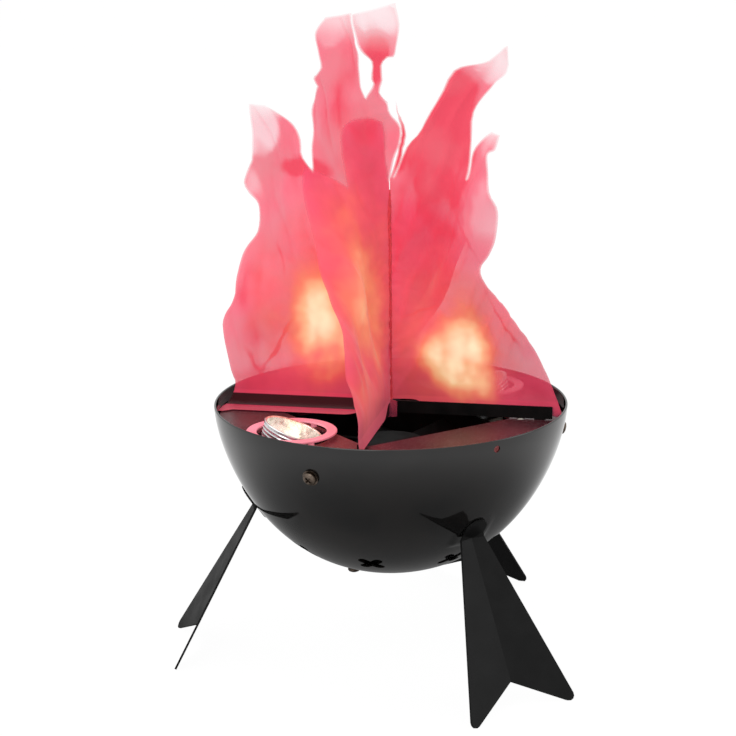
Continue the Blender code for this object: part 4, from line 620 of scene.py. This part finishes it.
def build_panel(panel):
    """One wing of silk as a bmesh, with its flat area and size. Each point carries its distance
    to an edge, its place on a tongue and the depth of its colour, painted fold shade included."""
    flat, faces, edge_of, tip_of = [], [], {}, {}

    def add_grid(grid, first=None):
        ids = [first] if first else []
        for row in grid[len(ids):]:
            ids.append(list(range(len(flat), len(flat) + len(row))))
            flat.extend(row)
        for low, high in zip(ids, ids[1:]):
            for j in range(len(low) - 1):
                faces.append((low[j], low[j + 1], high[j + 1], high[j]))
        return ids

    def add_tongues(tongues, row, row_ids, offset=0):
        for cols, outer, inner, *tops in tongues:
            a, b = (c * FINE - offset for c in cols)
            first, n = row[a:b + 1], TONGUE_ROWS
            left, right = [tuple(first[-1])] + outer, [tuple(first[0])] + inner
            grid = [first]
            for i in range(1, n + 1):
                p, q = along(right, i / n), along(left, i / n)
                grid.append([p.lerp(q, j / (len(first) - 1)) for j in range(len(first))])
            ids = add_grid(grid, row_ids[a:b + 1])
            for line in ids:
                edge_of[line[0]] = edge_of[line[-1]] = True
            if tops:
                add_tongues(tops, grid[-1], ids[-1], cols[0] * FINE)
            else:
                edge_of.update(dict.fromkeys(ids[-1], True))
                for i, line in enumerate(ids):
                    tip_of.update(dict.fromkeys(line, i / n))

    near, grid = 0.3 * MM / FOOT, []
    for i in range(BODY_ROWS + 1):
        t = i / BODY_ROWS
        edge = along(panel["edge"], t)
        row = []
        for j in range(PANEL_COLS + 1):
            c = (j / PANEL_COLS) ** 1.25
            height = panel["seam"] * t * (1 - c) + edge.y * c
            height += hem(near * FOOT + (1 - near) * FOOT * c) / FLAME_H * (1 - t) ** 3
            height -= panel["droop"] / FLAME_H * smooth((c - 0.92) / 0.05) * (1 - t) ** 8
            row.append(Vector((near + (edge.x - near) * c, height)))
        grid.append(row)
    if panel["skirt"]:
        drop = [panel["skirt"] / FLAME_H * (0.05 + 0.95 * smooth((p.x * FOOT - 8 * MM) / (14 * MM)))
                for p in grid[0]]
        grid = [[Vector((p.x, p.y - d * (1 - k / SKIRT_ROWS))) for p, d in zip(grid[0], drop)]
                for k in range(SKIRT_ROWS)] + grid
    ids = add_grid(grid)
    for line in ids[2:]:
        edge_of[line[-1]] = True
    add_tongues(panel["tongues"], grid[-1], ids[-1])
    rim = np.array([flat[i] for i in edge_of]) * (FOOT, FLAME_H)
    where = np.array(flat) * (FOOT, FLAME_H)
    reach = np.array([np.sqrt(((rim - p) ** 2).sum(1)).min() for p in where])
    bm = bmesh.new()
    uv, soft = bm.loops.layers.uv.new("UVMap"), bm.verts.layers.float.new("edge")
    tip, tone_and_fold_shade = bm.verts.layers.float.new("tip"), bm.verts.layers.float.new("tone_and_fold_shade")
    verts = []
    for i, ((w, h), out) in enumerate(zip(where, reach)):
        loose = exp(-out / (7 * MM))
        off = wrinkle(panel, w, h, loose)
        v = bm.verts.new(panel_point(panel, w, h) + panel_normal(panel, w, h) * off)
        v[soft], v[tip], v[tone_and_fold_shade] = out / MM, tip_of.get(i, 0.0), tone_and_fold_shade_at(panel, w, h)
        verts.append(v)
    flat_area = 0.0
    for face in faces:
        made = bm.faces.new([verts[i] for i in face])
        corners = [Vector(where[i]) for i in face]
        for loop, at in zip(made.loops, corners):
            loop[uv].uv = at * UV_PER_M
        a, b, c, d = corners
        flat_area += abs((c - a).cross(d - b)) / 2
    size = where.max(0) - where.min(0)
    return bm, flat_area, size


def on_cloth(u, v):
    """A place or size as given in PANELS, in the cloth's texture coordinates."""
    return Vector((u * FOOT, v * FLAME_H, 0)) * UV_PER_M


def crease_shade_at(tree, uv, u0, v0, u1, v1):
    """How near the cloth is to a fold's painted shade between two of a panel's points, 0 to 1."""
    start = on_cloth(u0, v0)
    run = on_cloth(u1, v1) - start
    wave = add_node(tree, "TexNoise", Vector=uv, Scale=9.0, Detail=1.0).outputs[1]
    sway = vector_maths(tree, "SUBTRACT", wave, (0.5, 0.5, 0.5))
    sway = vector_maths(tree, "MULTIPLY", sway, (0.06, 0.06, 0))
    here = vector_maths(tree, "SUBTRACT", vector_maths(tree, "ADD", uv, sway), start)
    part = vector_maths(tree, "DOT_PRODUCT", here, run)
    part = maths(tree, "DIVIDE", part, run.length_squared)
    part = maths(tree, "MINIMUM", maths(tree, "MAXIMUM", part, 0.0), 1.0)
    foot = vector_maths(tree, "SCALE", run, Scale=part)
    away = vector_maths(tree, "LENGTH", vector_maths(tree, "SUBTRACT", here, foot))
    ends = times(tree, span(tree, part, 0.0, 0.35, 0.35, 1.0),
                 span(tree, part, 0.65, 1.0, 1.0, 0.35))
    return times(tree, span(tree, away, 0.0, 0.018, 1.0, 0.0), ends)


def glow_on(tree, panel, uv):
    """How much of the lamps' light comes through the cloth, the sum of the panel's glows."""
    stray = times(tree, maths(tree, "SUBTRACT", spots(tree, uv, 5.5, 2.0), 0.5), 0.6)
    total = 0.0
    for u0, v0, half_u, half_v, peak in panel["glows"]:
        away = vector_maths(tree, "SUBTRACT", uv, on_cloth(u0, v0))
        away = vector_maths(tree, "DIVIDE", away, on_cloth(half_u, half_v))
        far = vector_maths(tree, "LENGTH", away)
        spot = span(tree, plus(tree, far, stray), 0.0, 1.0, peak, 0.0)
        total = plus(tree, spot, total)
    patches = spots(tree, uv, 4.5, 1.5, stretch=(1.0, 0.6, 1.0))
    return times(tree, total, span(tree, patches, 0.25, 0.7, 0.72, 1.12))


def glow_colours(tree, glow):
    """Light of the cloth from pink where it is unlit, over orange, to pale yellow."""
    stops = add_node(tree, "ValToRGB", Fac=glow)
    colours = [(0.0, (0.105, 0.021, 0.040)), (0.25, (0.18, 0.060, 0.036)),
               (0.5, (0.30, 0.180, 0.060)), (0.75, (0.40, 0.43, 0.18)), (1.0, (0.58, 0.77, 0.45))]
    while len(stops.color_ramp.elements) < len(colours):
        stops.color_ramp.elements.new(0.5)
    for stop, (at, colour) in zip(stops.color_ramp.elements, colours):
        stop.position, stop.color = at, (*colour, 1)
    return stops.outputs[0]


def silk(name, panel):
    """Pink-red habotai silk: a see-through weave, thinner at its frayed edges, that glows
    orange to yellow where the lamps shine through it, with painted shade along its folds."""
    mat, tree, bsdf = new_material("silk_" + name, Roughness=0.5, Sheen_Weight=0.35,
                                   Sheen_Roughness=0.4, Specular_IOR_Level=0.25,
                                   Emission_Strength=1.0)
    uv = add_node(tree, "UVMap", {"uv_map": "UVMap"}).outputs[0]
    edge, tip, tone_and_fold_shade = (add_node(tree, "Attribute", {"attribute_name": key}).outputs["Fac"]
                       for key in ("edge", "tip", "tone_and_fold_shade"))
    # painted shade along the creases deepens the cloth's colour
    for u0, v0, u1, v1, value in panel["crease_shades"]:
        crease_shade = times(tree, crease_shade_at(tree, uv, u0, v0, u1, v1), value)
        tone_and_fold_shade = plus(tree, tone_and_fold_shade, crease_shade)
    deep, faint = span(tree, tone_and_fold_shade, 0.0, 1.0, 0.0, 1.0), span(tree, tone_and_fold_shade, -1.0, 0.0, 1.0, 0.0)
    parts = add_node(tree, "SeparateXYZ", i0=uv)
    across, up = parts.outputs[0], parts.outputs[1]
    # the strip's shade, from just over the hem down to the plate
    shade = times(tree, span(tree, up, 0.004, 0.010, 1.0, 0.0),
                  span(tree, up, -0.074, -0.062, 0.25, 1.0))
    shade = times(tree, shade, 1.0 if panel["shades"] else 0.0)
    # colour
    cloud = spots(tree, uv, 2.6, 3.0)
    thin = span(tree, edge, 0.0, 9.0, 1.0, 0.0)
    colours = ramp(tree, cloud, (0.80, 0.034, 0.082), (0.90, 0.056, 0.122))
    # deep is darker red where the cloth lies double, and painted shade along its folds and creases
    for share, weight, colour in ((thin, 0.3, (0.95, 0.10, 0.18)),
                                  (deep, 0.85, (0.84, 0.024, 0.055)),
                                  (faint, 0.8, (0.95, 0.26, 0.36)),
                                  (shade, 0.97, (0.02, 0.001, 0.002))):
        colours = mix_colour(tree, times(tree, share, weight), colours, colour)
    # how much of the cloth is there: less where it is thin, frayed or at a tongue's end
    alpha = span(tree, cloud, 0.25, 0.75, 0.80, 0.90)
    alpha = plus(tree, alpha, times(tree, deep, 0.12))
    alpha = maths(tree, "SUBTRACT", alpha, times(tree, faint, 0.35))
    frayed = times(tree, span(tree, edge, 0.0, panel["fade"], 1.0, 0.0),
                   span(tree, up, 0.3, 1.6, 0.1, panel["fray"]))
    for gone in (frayed, span(tree, tip, 0.6, 1.0, 0.0, 0.5)):
        alpha = times(tree, alpha, rest_of(tree, gone))
    alpha = plus(tree, alpha, span(tree, up, 0.02, 0.035, 0.12, 0.0))      # the hem's band
    # light
    glow = times(tree, glow_on(tree, panel, uv), rest_of(tree, shade))
    alpha = plus(tree, alpha, times(tree, glow, 0.35))
    put(tree, bsdf, Base_Color=colours, Alpha=maths(tree, "MINIMUM", alpha, 0.975),
        Emission_Color=glow_colours(tree, glow),
        Emission_Strength=span(tree, shade, 0.0, 1.0, 1.0, 0.03))
    # weave
    pitch = 0.45 * MM * UV_PER_M
    weave = 1.0
    for axis in (across, up):
        fine = maths(tree, "SINE", times(tree, axis, 2 * pi / pitch))
        weave = times(tree, fine, weave)
    bump(tree, bsdf, weave, 0.12, 0.05 * MM)
    return mat


def make_silk():
    """The four wings, each a cut sheet of silk hung on its strip."""
    wings = {}
    for name, panel in PANELS.items():
        bm, area, size = build_panel(panel)
        ob = finish_piece("silk_sheet_" + name, bm, silk(name, panel), "frame",
                          ["silk_wing_" + name], crisp=180)
        wings[name] = ob
    return wings


def thread_material():
    """Twisted red sewing thread, with a painted glow of the light shining through it."""
    mat, tree, bsdf = new_material("red_thread_with_painted_glow", Roughness=0.7, Sheen_Weight=0.3,
                                   Emission_Color=(0.16, 0.010, 0.014), Emission_Strength=1.0)
    twist = spots(tree, place_of(tree), 900, 2.0, stretch=(1, 1, 0.5))
    put(tree, bsdf, Base_Color=ramp(tree, twist, (0.42, 0.008, 0.018), (0.62, 0.025, 0.04)))
    bump(tree, bsdf, twist, 0.5, 0.2 * MM)
    return mat


def make_seam():
    """The seam where the wings are sewn together: a rolled edge with stitches round it."""
    mat = thread_material()
    bm = bmesh.new()
    rows, steps = 150, 14
    rings = []
    for i in range(rows + 1):
        h = SEAM_TOP * i / rows
        pucker = 1 + 0.22 * noise.noise(Vector((h / (3.5 * MM), 2.0, 0)))
        drift = Vector((0.5 * MM * noise.noise(Vector((h / (19 * MM), 7, 0))),
                        0.5 * MM * noise.noise(Vector((h / (17 * MM), 9, 4))), 0))
        taper = 1 - 0.5 * smooth((i - 0.9 * rows) / (0.1 * rows))
        r = SEAM_R * pucker * taper
        turns = [2 * pi * k / steps for k in range(steps)]
        rings.append([bm.verts.new(drift + Vector((r * cos(a), r * sin(a),
                                                   RIM_Z + GAP + h))) for a in turns])
    for low, high in zip(rings, rings[1:]):
        skin(bm, low, high)
    bm.faces.new(rings[0][::-1])
    bm.faces.new(rings[-1])
    roll = finish_piece("silk_seam_roll", bm, mat, "frame", ["silk_seam"], AXIS, 180)
    bm = bmesh.new()
    pitch, thick, lean, step = 3.1 * MM, 0.16 * MM, radians(24), 0.35
    ring = [(SEAM_R * 1.18 + thick * cos(a), thick * sin(a))
            for a in [2 * pi * k / 6 for k in range(6)]]
    for i in range(int(SEAM_TOP / pitch) - 1):
        z = RIM_Z + GAP + (i + 0.7) * pitch
        turned(bm, ring, 16, AXIS @ Matrix.Translation((0, 0, z))
               @ Matrix.Rotation(i * step, 4, "Z") @ Matrix.Rotation(lean, 4, "X"))
    stitches = finish_piece("silk_seam_stitches", bm, mat, "frame", crisp=180)
    stitches.parent = roll
    stitches.matrix_parent_inverse = roll.matrix_world.inverted()


def make_tab(mat):
    """The small loose tab of cloth at the foot of the seam: it lies flat, then hangs down."""
    rows, cols, length, half, flat_run = 14, 8, 14.5 * MM, 3.5 * MM, 5.2 * MM
    bulge, bulge_run, start = 1.1 * MM, 9 * MM, Vector((0, -0.8 * MM, RIM_Z + 0.7 * MM))
    bm = bmesh.new()
    grid = []
    for i in range(rows + 1):
        t = i / rows * length
        bend = min(max(t - flat_run, 0) / bulge_run, 1) * 2.2
        out = min(t, flat_run) + bulge * sin(bend)
        drop = 0.0 if t < flat_run else (t - flat_run) * 0.93
        row = []
        for j in range(cols + 1):
            x = (j / cols - 0.5) * 2 * half * (0.35 + 0.65 * smooth(t / flat_run))
            curl = 0.5 * MM * sin(3 * x / half + 0.3 * i) * smooth(t / flat_run)
            row.append(bm.verts.new(start + Vector((x, curl - out, -drop))))
        grid.append(row)
    uv = bm.loops.layers.uv.new("UVMap")
    for low, high in zip(grid, grid[1:]):
        skin(bm, low, high, closed=False)
    for face in bm.faces:
        for loop in face.loops:
            loop[uv].uv = loop.vert.co.xz * UV_PER_M
    finish_piece("silk_loose_tab", bm, mat, "frame", ["silk_tab"],
                 AXIS @ Matrix.Rotation(radians(-33), 4, "Z"), 180)


# ---- lamps

def can_radius(height):
    """Outer radius of the reflector's bowl at a height over the pivot."""
    share = min(max((CAN_MOUTH - height) / CAN_DEPTH, 0), 1)
    belly = CAN_R - 0.6 * MM - CAN_NECK_R
    return CAN_NECK_R + belly * sqrt(1 - share ** 2.2)


def make_ring(side, home):
    """The lamp's flat ring, on three feet and with an ear at each end of the pivot."""
    bm = bmesh.new()
    soft = 0.3 * MM
    section = [(RING_INNER_R + soft, RING_LOW), (RING_OUTER_R - soft, RING_LOW),
               (RING_OUTER_R, RING_LOW + soft), (RING_OUTER_R, RING_TOP - soft),
               (RING_OUTER_R - soft, RING_TOP), (RING_INNER_R + soft, RING_TOP),
               (RING_INNER_R, RING_TOP - soft), (RING_INNER_R, RING_LOW + soft)]
    turned(bm, section, 96)
    foot_low = PLATE_TOP + GAP
    for k in range(3):
        x, y = spun([(0, -RING_FOOT_AT)], k * 2 * pi / 3)[0]
        turned(bm, [(0, foot_low), (RING_FOOT_R, foot_low), (RING_FOOT_R, RING_LOW),
                    (0, RING_LOW)], 24, Matrix.Translation((x, y, 0)))
    ear, ear_top = RING_INNER_R + 0.1 * MM, RING_LOW + 0.2 * MM
    outline = [(-EAR_HALF, ear_top), (-EAR_HALF, PIVOT_Z)]
    outline += [(-EAR_HALF * cos(a), PIVOT_Z - EAR_HALF * sin(a))
                for a in [pi * k / 12 for k in range(1, 12)]]
    outline += [(EAR_HALF, PIVOT_Z), (EAR_HALF, ear_top)]
    upright = Matrix(((0, 0, 1, 0), (1, 0, 0, 0), (0, 1, 0, 0), (0, 0, 0, 1)))
    for low in (-ear - EAR_T, ear):
        prism(bm, outline, low, low + EAR_T, upright)
    finish_piece("lamp_flange_" + side, bm, MATS["ring"], "frame", ["lamp_ring_" + side],
                 home)
    return ear


def make_reflector(side, tilt, ear):
    """The ribbed aluminium can, bright inside, with a pivot pin at each side."""
    outer, inner = [], []
    steps, rib_pitch, ribbed, rib_h = 46, 2.0, 9, 0.28 * MM
    for k in range(steps + 1):
        h = CAN_MOUTH - CAN_DEPTH * k / steps
        deep = (CAN_MOUTH - h) / MM
        rib = rib_h * max(0, sin(2 * pi * deep / rib_pitch)) if deep < ribbed else 0
        outer.append((can_radius(h) + rib, h))
        inner.append((can_radius(h) - CAN_WALL, h))
    lip, soft = CAN_MOUTH - 1.5 * MM, 0.4 * MM
    rim = [(CAN_R - CAN_WALL, CAN_MOUTH), (CAN_R - soft, CAN_MOUTH), (CAN_R, CAN_MOUTH - soft),
           (CAN_R, CAN_MOUTH - 1.1 * MM), (can_radius(lip), lip)]
    floor = [(3.6 * MM, outer[-1][1]), (3.6 * MM, outer[-1][1] + CAN_WALL)]
    profile = rim + [p for p in outer if p[1] < lip] + floor
    profile += [p for p in reversed(inner) if floor[1][1] < p[1] < CAN_MOUTH - 0.2 * MM]
    bm = bmesh.new()
    turned(bm, profile, 96)
    for face in bm.faces:
        at = face.calc_center_median()
        if at.z > floor[0][1] and hypot(*at.xy) < can_radius(at.z) - CAN_WALL / 2:
            face.material_index = 1
    root = can_radius(0) - 0.3 * MM
    pin = [(0, root), (PIN_R, root), (PIN_R, ear + 0.9 * MM), (0.7 * MM, ear + MM), (0, ear + MM)]
    for sx in (-1, 1):
        turned(bm, pin, 20, Matrix.Rotation(sx * pi / 2, 4, "Y"))
    can = finish_piece("lamp_reflector_" + side, bm, MATS["alu"], "lamp_" + side,
                       ["lamp_can_" + side], tilt, 40)
    can.data.materials.append(MATS["reflector"])


def make_capsule(side, tilt):
    """The lit glass lamp, from its dome down to the pins in its holder."""
    dome = [(BULB_R * sin(a), -BULB_TOP - BULB_R + BULB_R * cos(a))
            for a in [pi / 2 * k / 10 for k in range(11)]]
    neck = -BULB_TOP - BULB_BARREL
    foot = CAN_MOUTH - CAN_DEPTH - HOLDER_H + 1.5 * MM
    bm = bmesh.new()
    stem = [(BULB_R, neck), (STEM_R, neck - BULB_NECK), (STEM_R, foot), (0, foot)]
    turned(bm, [(0, -BULB_TOP)] + dome[1:] + stem, 40)
    finish_piece("lamp_capsule_" + side, bm, MATS["glass"], "lamp_" + side, ["lamp_bulb_" + side],
                 tilt, 50)


def make_lamp(side, azimuth):
    """One lamp: the ring on the plate, and the reflector and bulb that tilt in its ears."""
    home = (AXIS @ Matrix.Rotation(azimuth, 4, "Z") @ Matrix.Translation((0, -LAMP_R, 0))
            @ Matrix.Rotation(LAMP_AIM, 4, "Z"))
    tilt = home @ Matrix.Translation((0, 0, PIVOT_Z)) @ Matrix.Rotation(-LAMP_TILT, 4, "X")
    ear = make_ring(side, home)
    make_reflector(side, tilt, ear)
    make_capsule(side, tilt)


# ---- carried-over CAD nodes

def dress_cad():
    """Gives each CAD node that stays in view its finish, and the sheet parts eased edges."""
    finishes = {                # by how a node's name starts; the first that fits counts
        "leg_nut": "zinc", "leg_": "leg", "top_plate": "plate", "strip_": "strip",
        "fan_frame": "plastic", "fan_impeller": "plastic", "fan_magnet": "ferrite",
        "fan_shaft": "steel", "fan_bearing": "brass", "fan_stator": "steel", "fan_board": "board",
        "fan_coil": "copper", "transformer_core": "steel", "transformer_coil": "copper",
        "terminal_block": "porcelain", "terminal_screw": "brass", "lamp_holder": "porcelain",
        "cable_grommet": "rubber", "side_": "bronze", "chassis_screw": "bronze", "": "zinc"}
    for name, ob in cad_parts.items():
        key = next(key for start, key in finishes.items() if name.startswith(start))
        ob.data.materials.clear()
        ob.data.materials.append(MATS[key])
        if key in ("leg", "plate", "strip"):
            edge = ob.modifiers.new("edge", "BEVEL")
            edge.width, edge.segments, edge.limit_method = 0.22 * MM, 2, "ANGLE"
            edge.angle_limit, edge.harden_normals = radians(40), True


# ---- stage, light and camera

FLOOR_DROP = 0.2 * MM       # of the floor below the legs' tips
FLOOR_SHARE = 0.93          # how much of the seen floor is plain white, the rest holds the shadow
FLOOR_LEVEL = 1.04          # its strength, which makes up for that rest: 0.93 x 1.04 is under 1
WORLD_LIGHT = 0.6           # strength with which the surround lights the object
LIT_POINT = Vector((0, 0, 0.17))
CAMERA_AT, CAMERA_AIM = Vector((-601.3, -872.9, 434.9)) * MM, Vector((-10.6, 19.5, 164.8)) * MM
CAMERA_ROLL, LENS = radians(-0.49), 95.5


def seen_rays(tree):
    """Rays that show the surround, as 1 against 0 for others, and the mirrored ones alone."""
    path = add_node(tree, "LightPath")
    mirrored = path.outputs["Is Glossy Ray"]
    through = plus(tree, mirrored, path.outputs["Is Transmission Ray"])
    every = plus(tree, path.outputs["Is Camera Ray"], through)
    return maths(tree, "MINIMUM", every, 1.0), mirrored


def floor_material():
    """White where it is seen, with enough paint left to hold the object's shadow. Its mirror
    image is darker near the object, a painted shadow of the object, which stands in its light
    there."""
    mat = bpy.data.materials.new("floor_white")
    mat.use_nodes = True
    tree = mat.node_tree
    tree.nodes.clear()
    seen, mirrored = seen_rays(tree)
    far = vector_maths(tree, "LENGTH", place_of(tree))
    # painted shadow: the floor's mirror image is darker near the object
    image = times(tree, mirrored, span(tree, far, 0.10, 0.34, 0.22, 1.0))
    plain = times(tree, rest_of(tree, mirrored), FLOOR_LEVEL)
    diffuse = add_node(tree, "BsdfDiffuse", Color=(0.86, 0.86, 0.86))
    light = add_node(tree, "Emission", Color=(1, 1, 1),
                     Strength=plus(tree, image, plain))
    mixed = add_node(tree, "MixShader", i0=times(tree, seen, FLOOR_SHARE),
                     i1=diffuse.outputs[0], i2=light.outputs[0])
    add_node(tree, "OutputMaterial", i0=mixed.outputs[0])
    return mat


def make_surround():
    """A world that is white where it is seen and lights the object softly."""
    world = bpy.data.worlds.new("studio")
    bpy.context.scene.world = world
    world.use_nodes = True
    tree = world.node_tree
    tree.nodes.clear()
    level = span(tree, seen_rays(tree)[0], 0.0, 1.0, WORLD_LIGHT, 1.0)
    back = add_node(tree, "Background", Color=(1, 1, 1), Strength=level)
    add_node(tree, "OutputWorld", i0=back.outputs[0])


def make_stage():
    """White floor that keeps the object's shadow, soft studio lights and a white surround."""
    bm = bmesh.new()
    bmesh.ops.create_grid(bm, x_segments=2, y_segments=2, size=6.0)
    floor = add_object("floor", bm)
    floor.location.z = -FLOOR_DROP
    floor.data.materials.append(floor_material())
    make_surround()
    for name, at, size, power, colour in (
            ("key", (-1.25, -0.75, 1.15), (0.9, 1.3), 9.0, (1, 0.99, 0.98)),
            ("fill", (1.3, -0.9, 0.9), (0.7, 1.1), 4.5, (0.98, 0.99, 1)),
            ("top", (0.1, 0.5, 1.9), (1.4, 1.4), 8.0, (1, 1, 1))):
        data = bpy.data.lights.new(name, "AREA")
        data.shape, data.size, data.size_y = "RECTANGLE", *size
        data.energy, data.color = power, colour
        ob = add_object(name, data)
        ob.location = at
        ob.rotation_euler = (LIT_POINT - Vector(at)).to_track_quat("-Z", "Y").to_euler()


def make_camera():
    """The photograph's view: slightly above the rim, from the front left."""
    data = bpy.data.cameras.new("camera")
    data.sensor_width, data.lens, data.clip_start, data.clip_end = 36, LENS, 0.05, 30
    cam = add_object("camera", data)
    ahead = (CAMERA_AIM - CAMERA_AT).normalized()
    right = ahead.cross(Vector((0, 0, 1))).normalized()
    up = right.cross(ahead)
    x = right * cos(CAMERA_ROLL) + up * sin(CAMERA_ROLL)
    y = -right * sin(CAMERA_ROLL) + up * cos(CAMERA_ROLL)
    place = Matrix((x, y, -ahead)).transposed().to_4x4()
    place.translation = CAMERA_AT
    cam.matrix_world = place
    bpy.context.scene.camera = cam


make_camera()
make_stage()
dress_cad()
make_bowl()
WINGS = make_silk()
make_seam()
make_tab(WINGS["front"].data.materials[0])
make_lamp("left", LAMP_AZIMUTH)
make_lamp("right", LAMP_AZIMUTH + pi)

bpy.context.scene.view_settings.view_transform = "Standard"
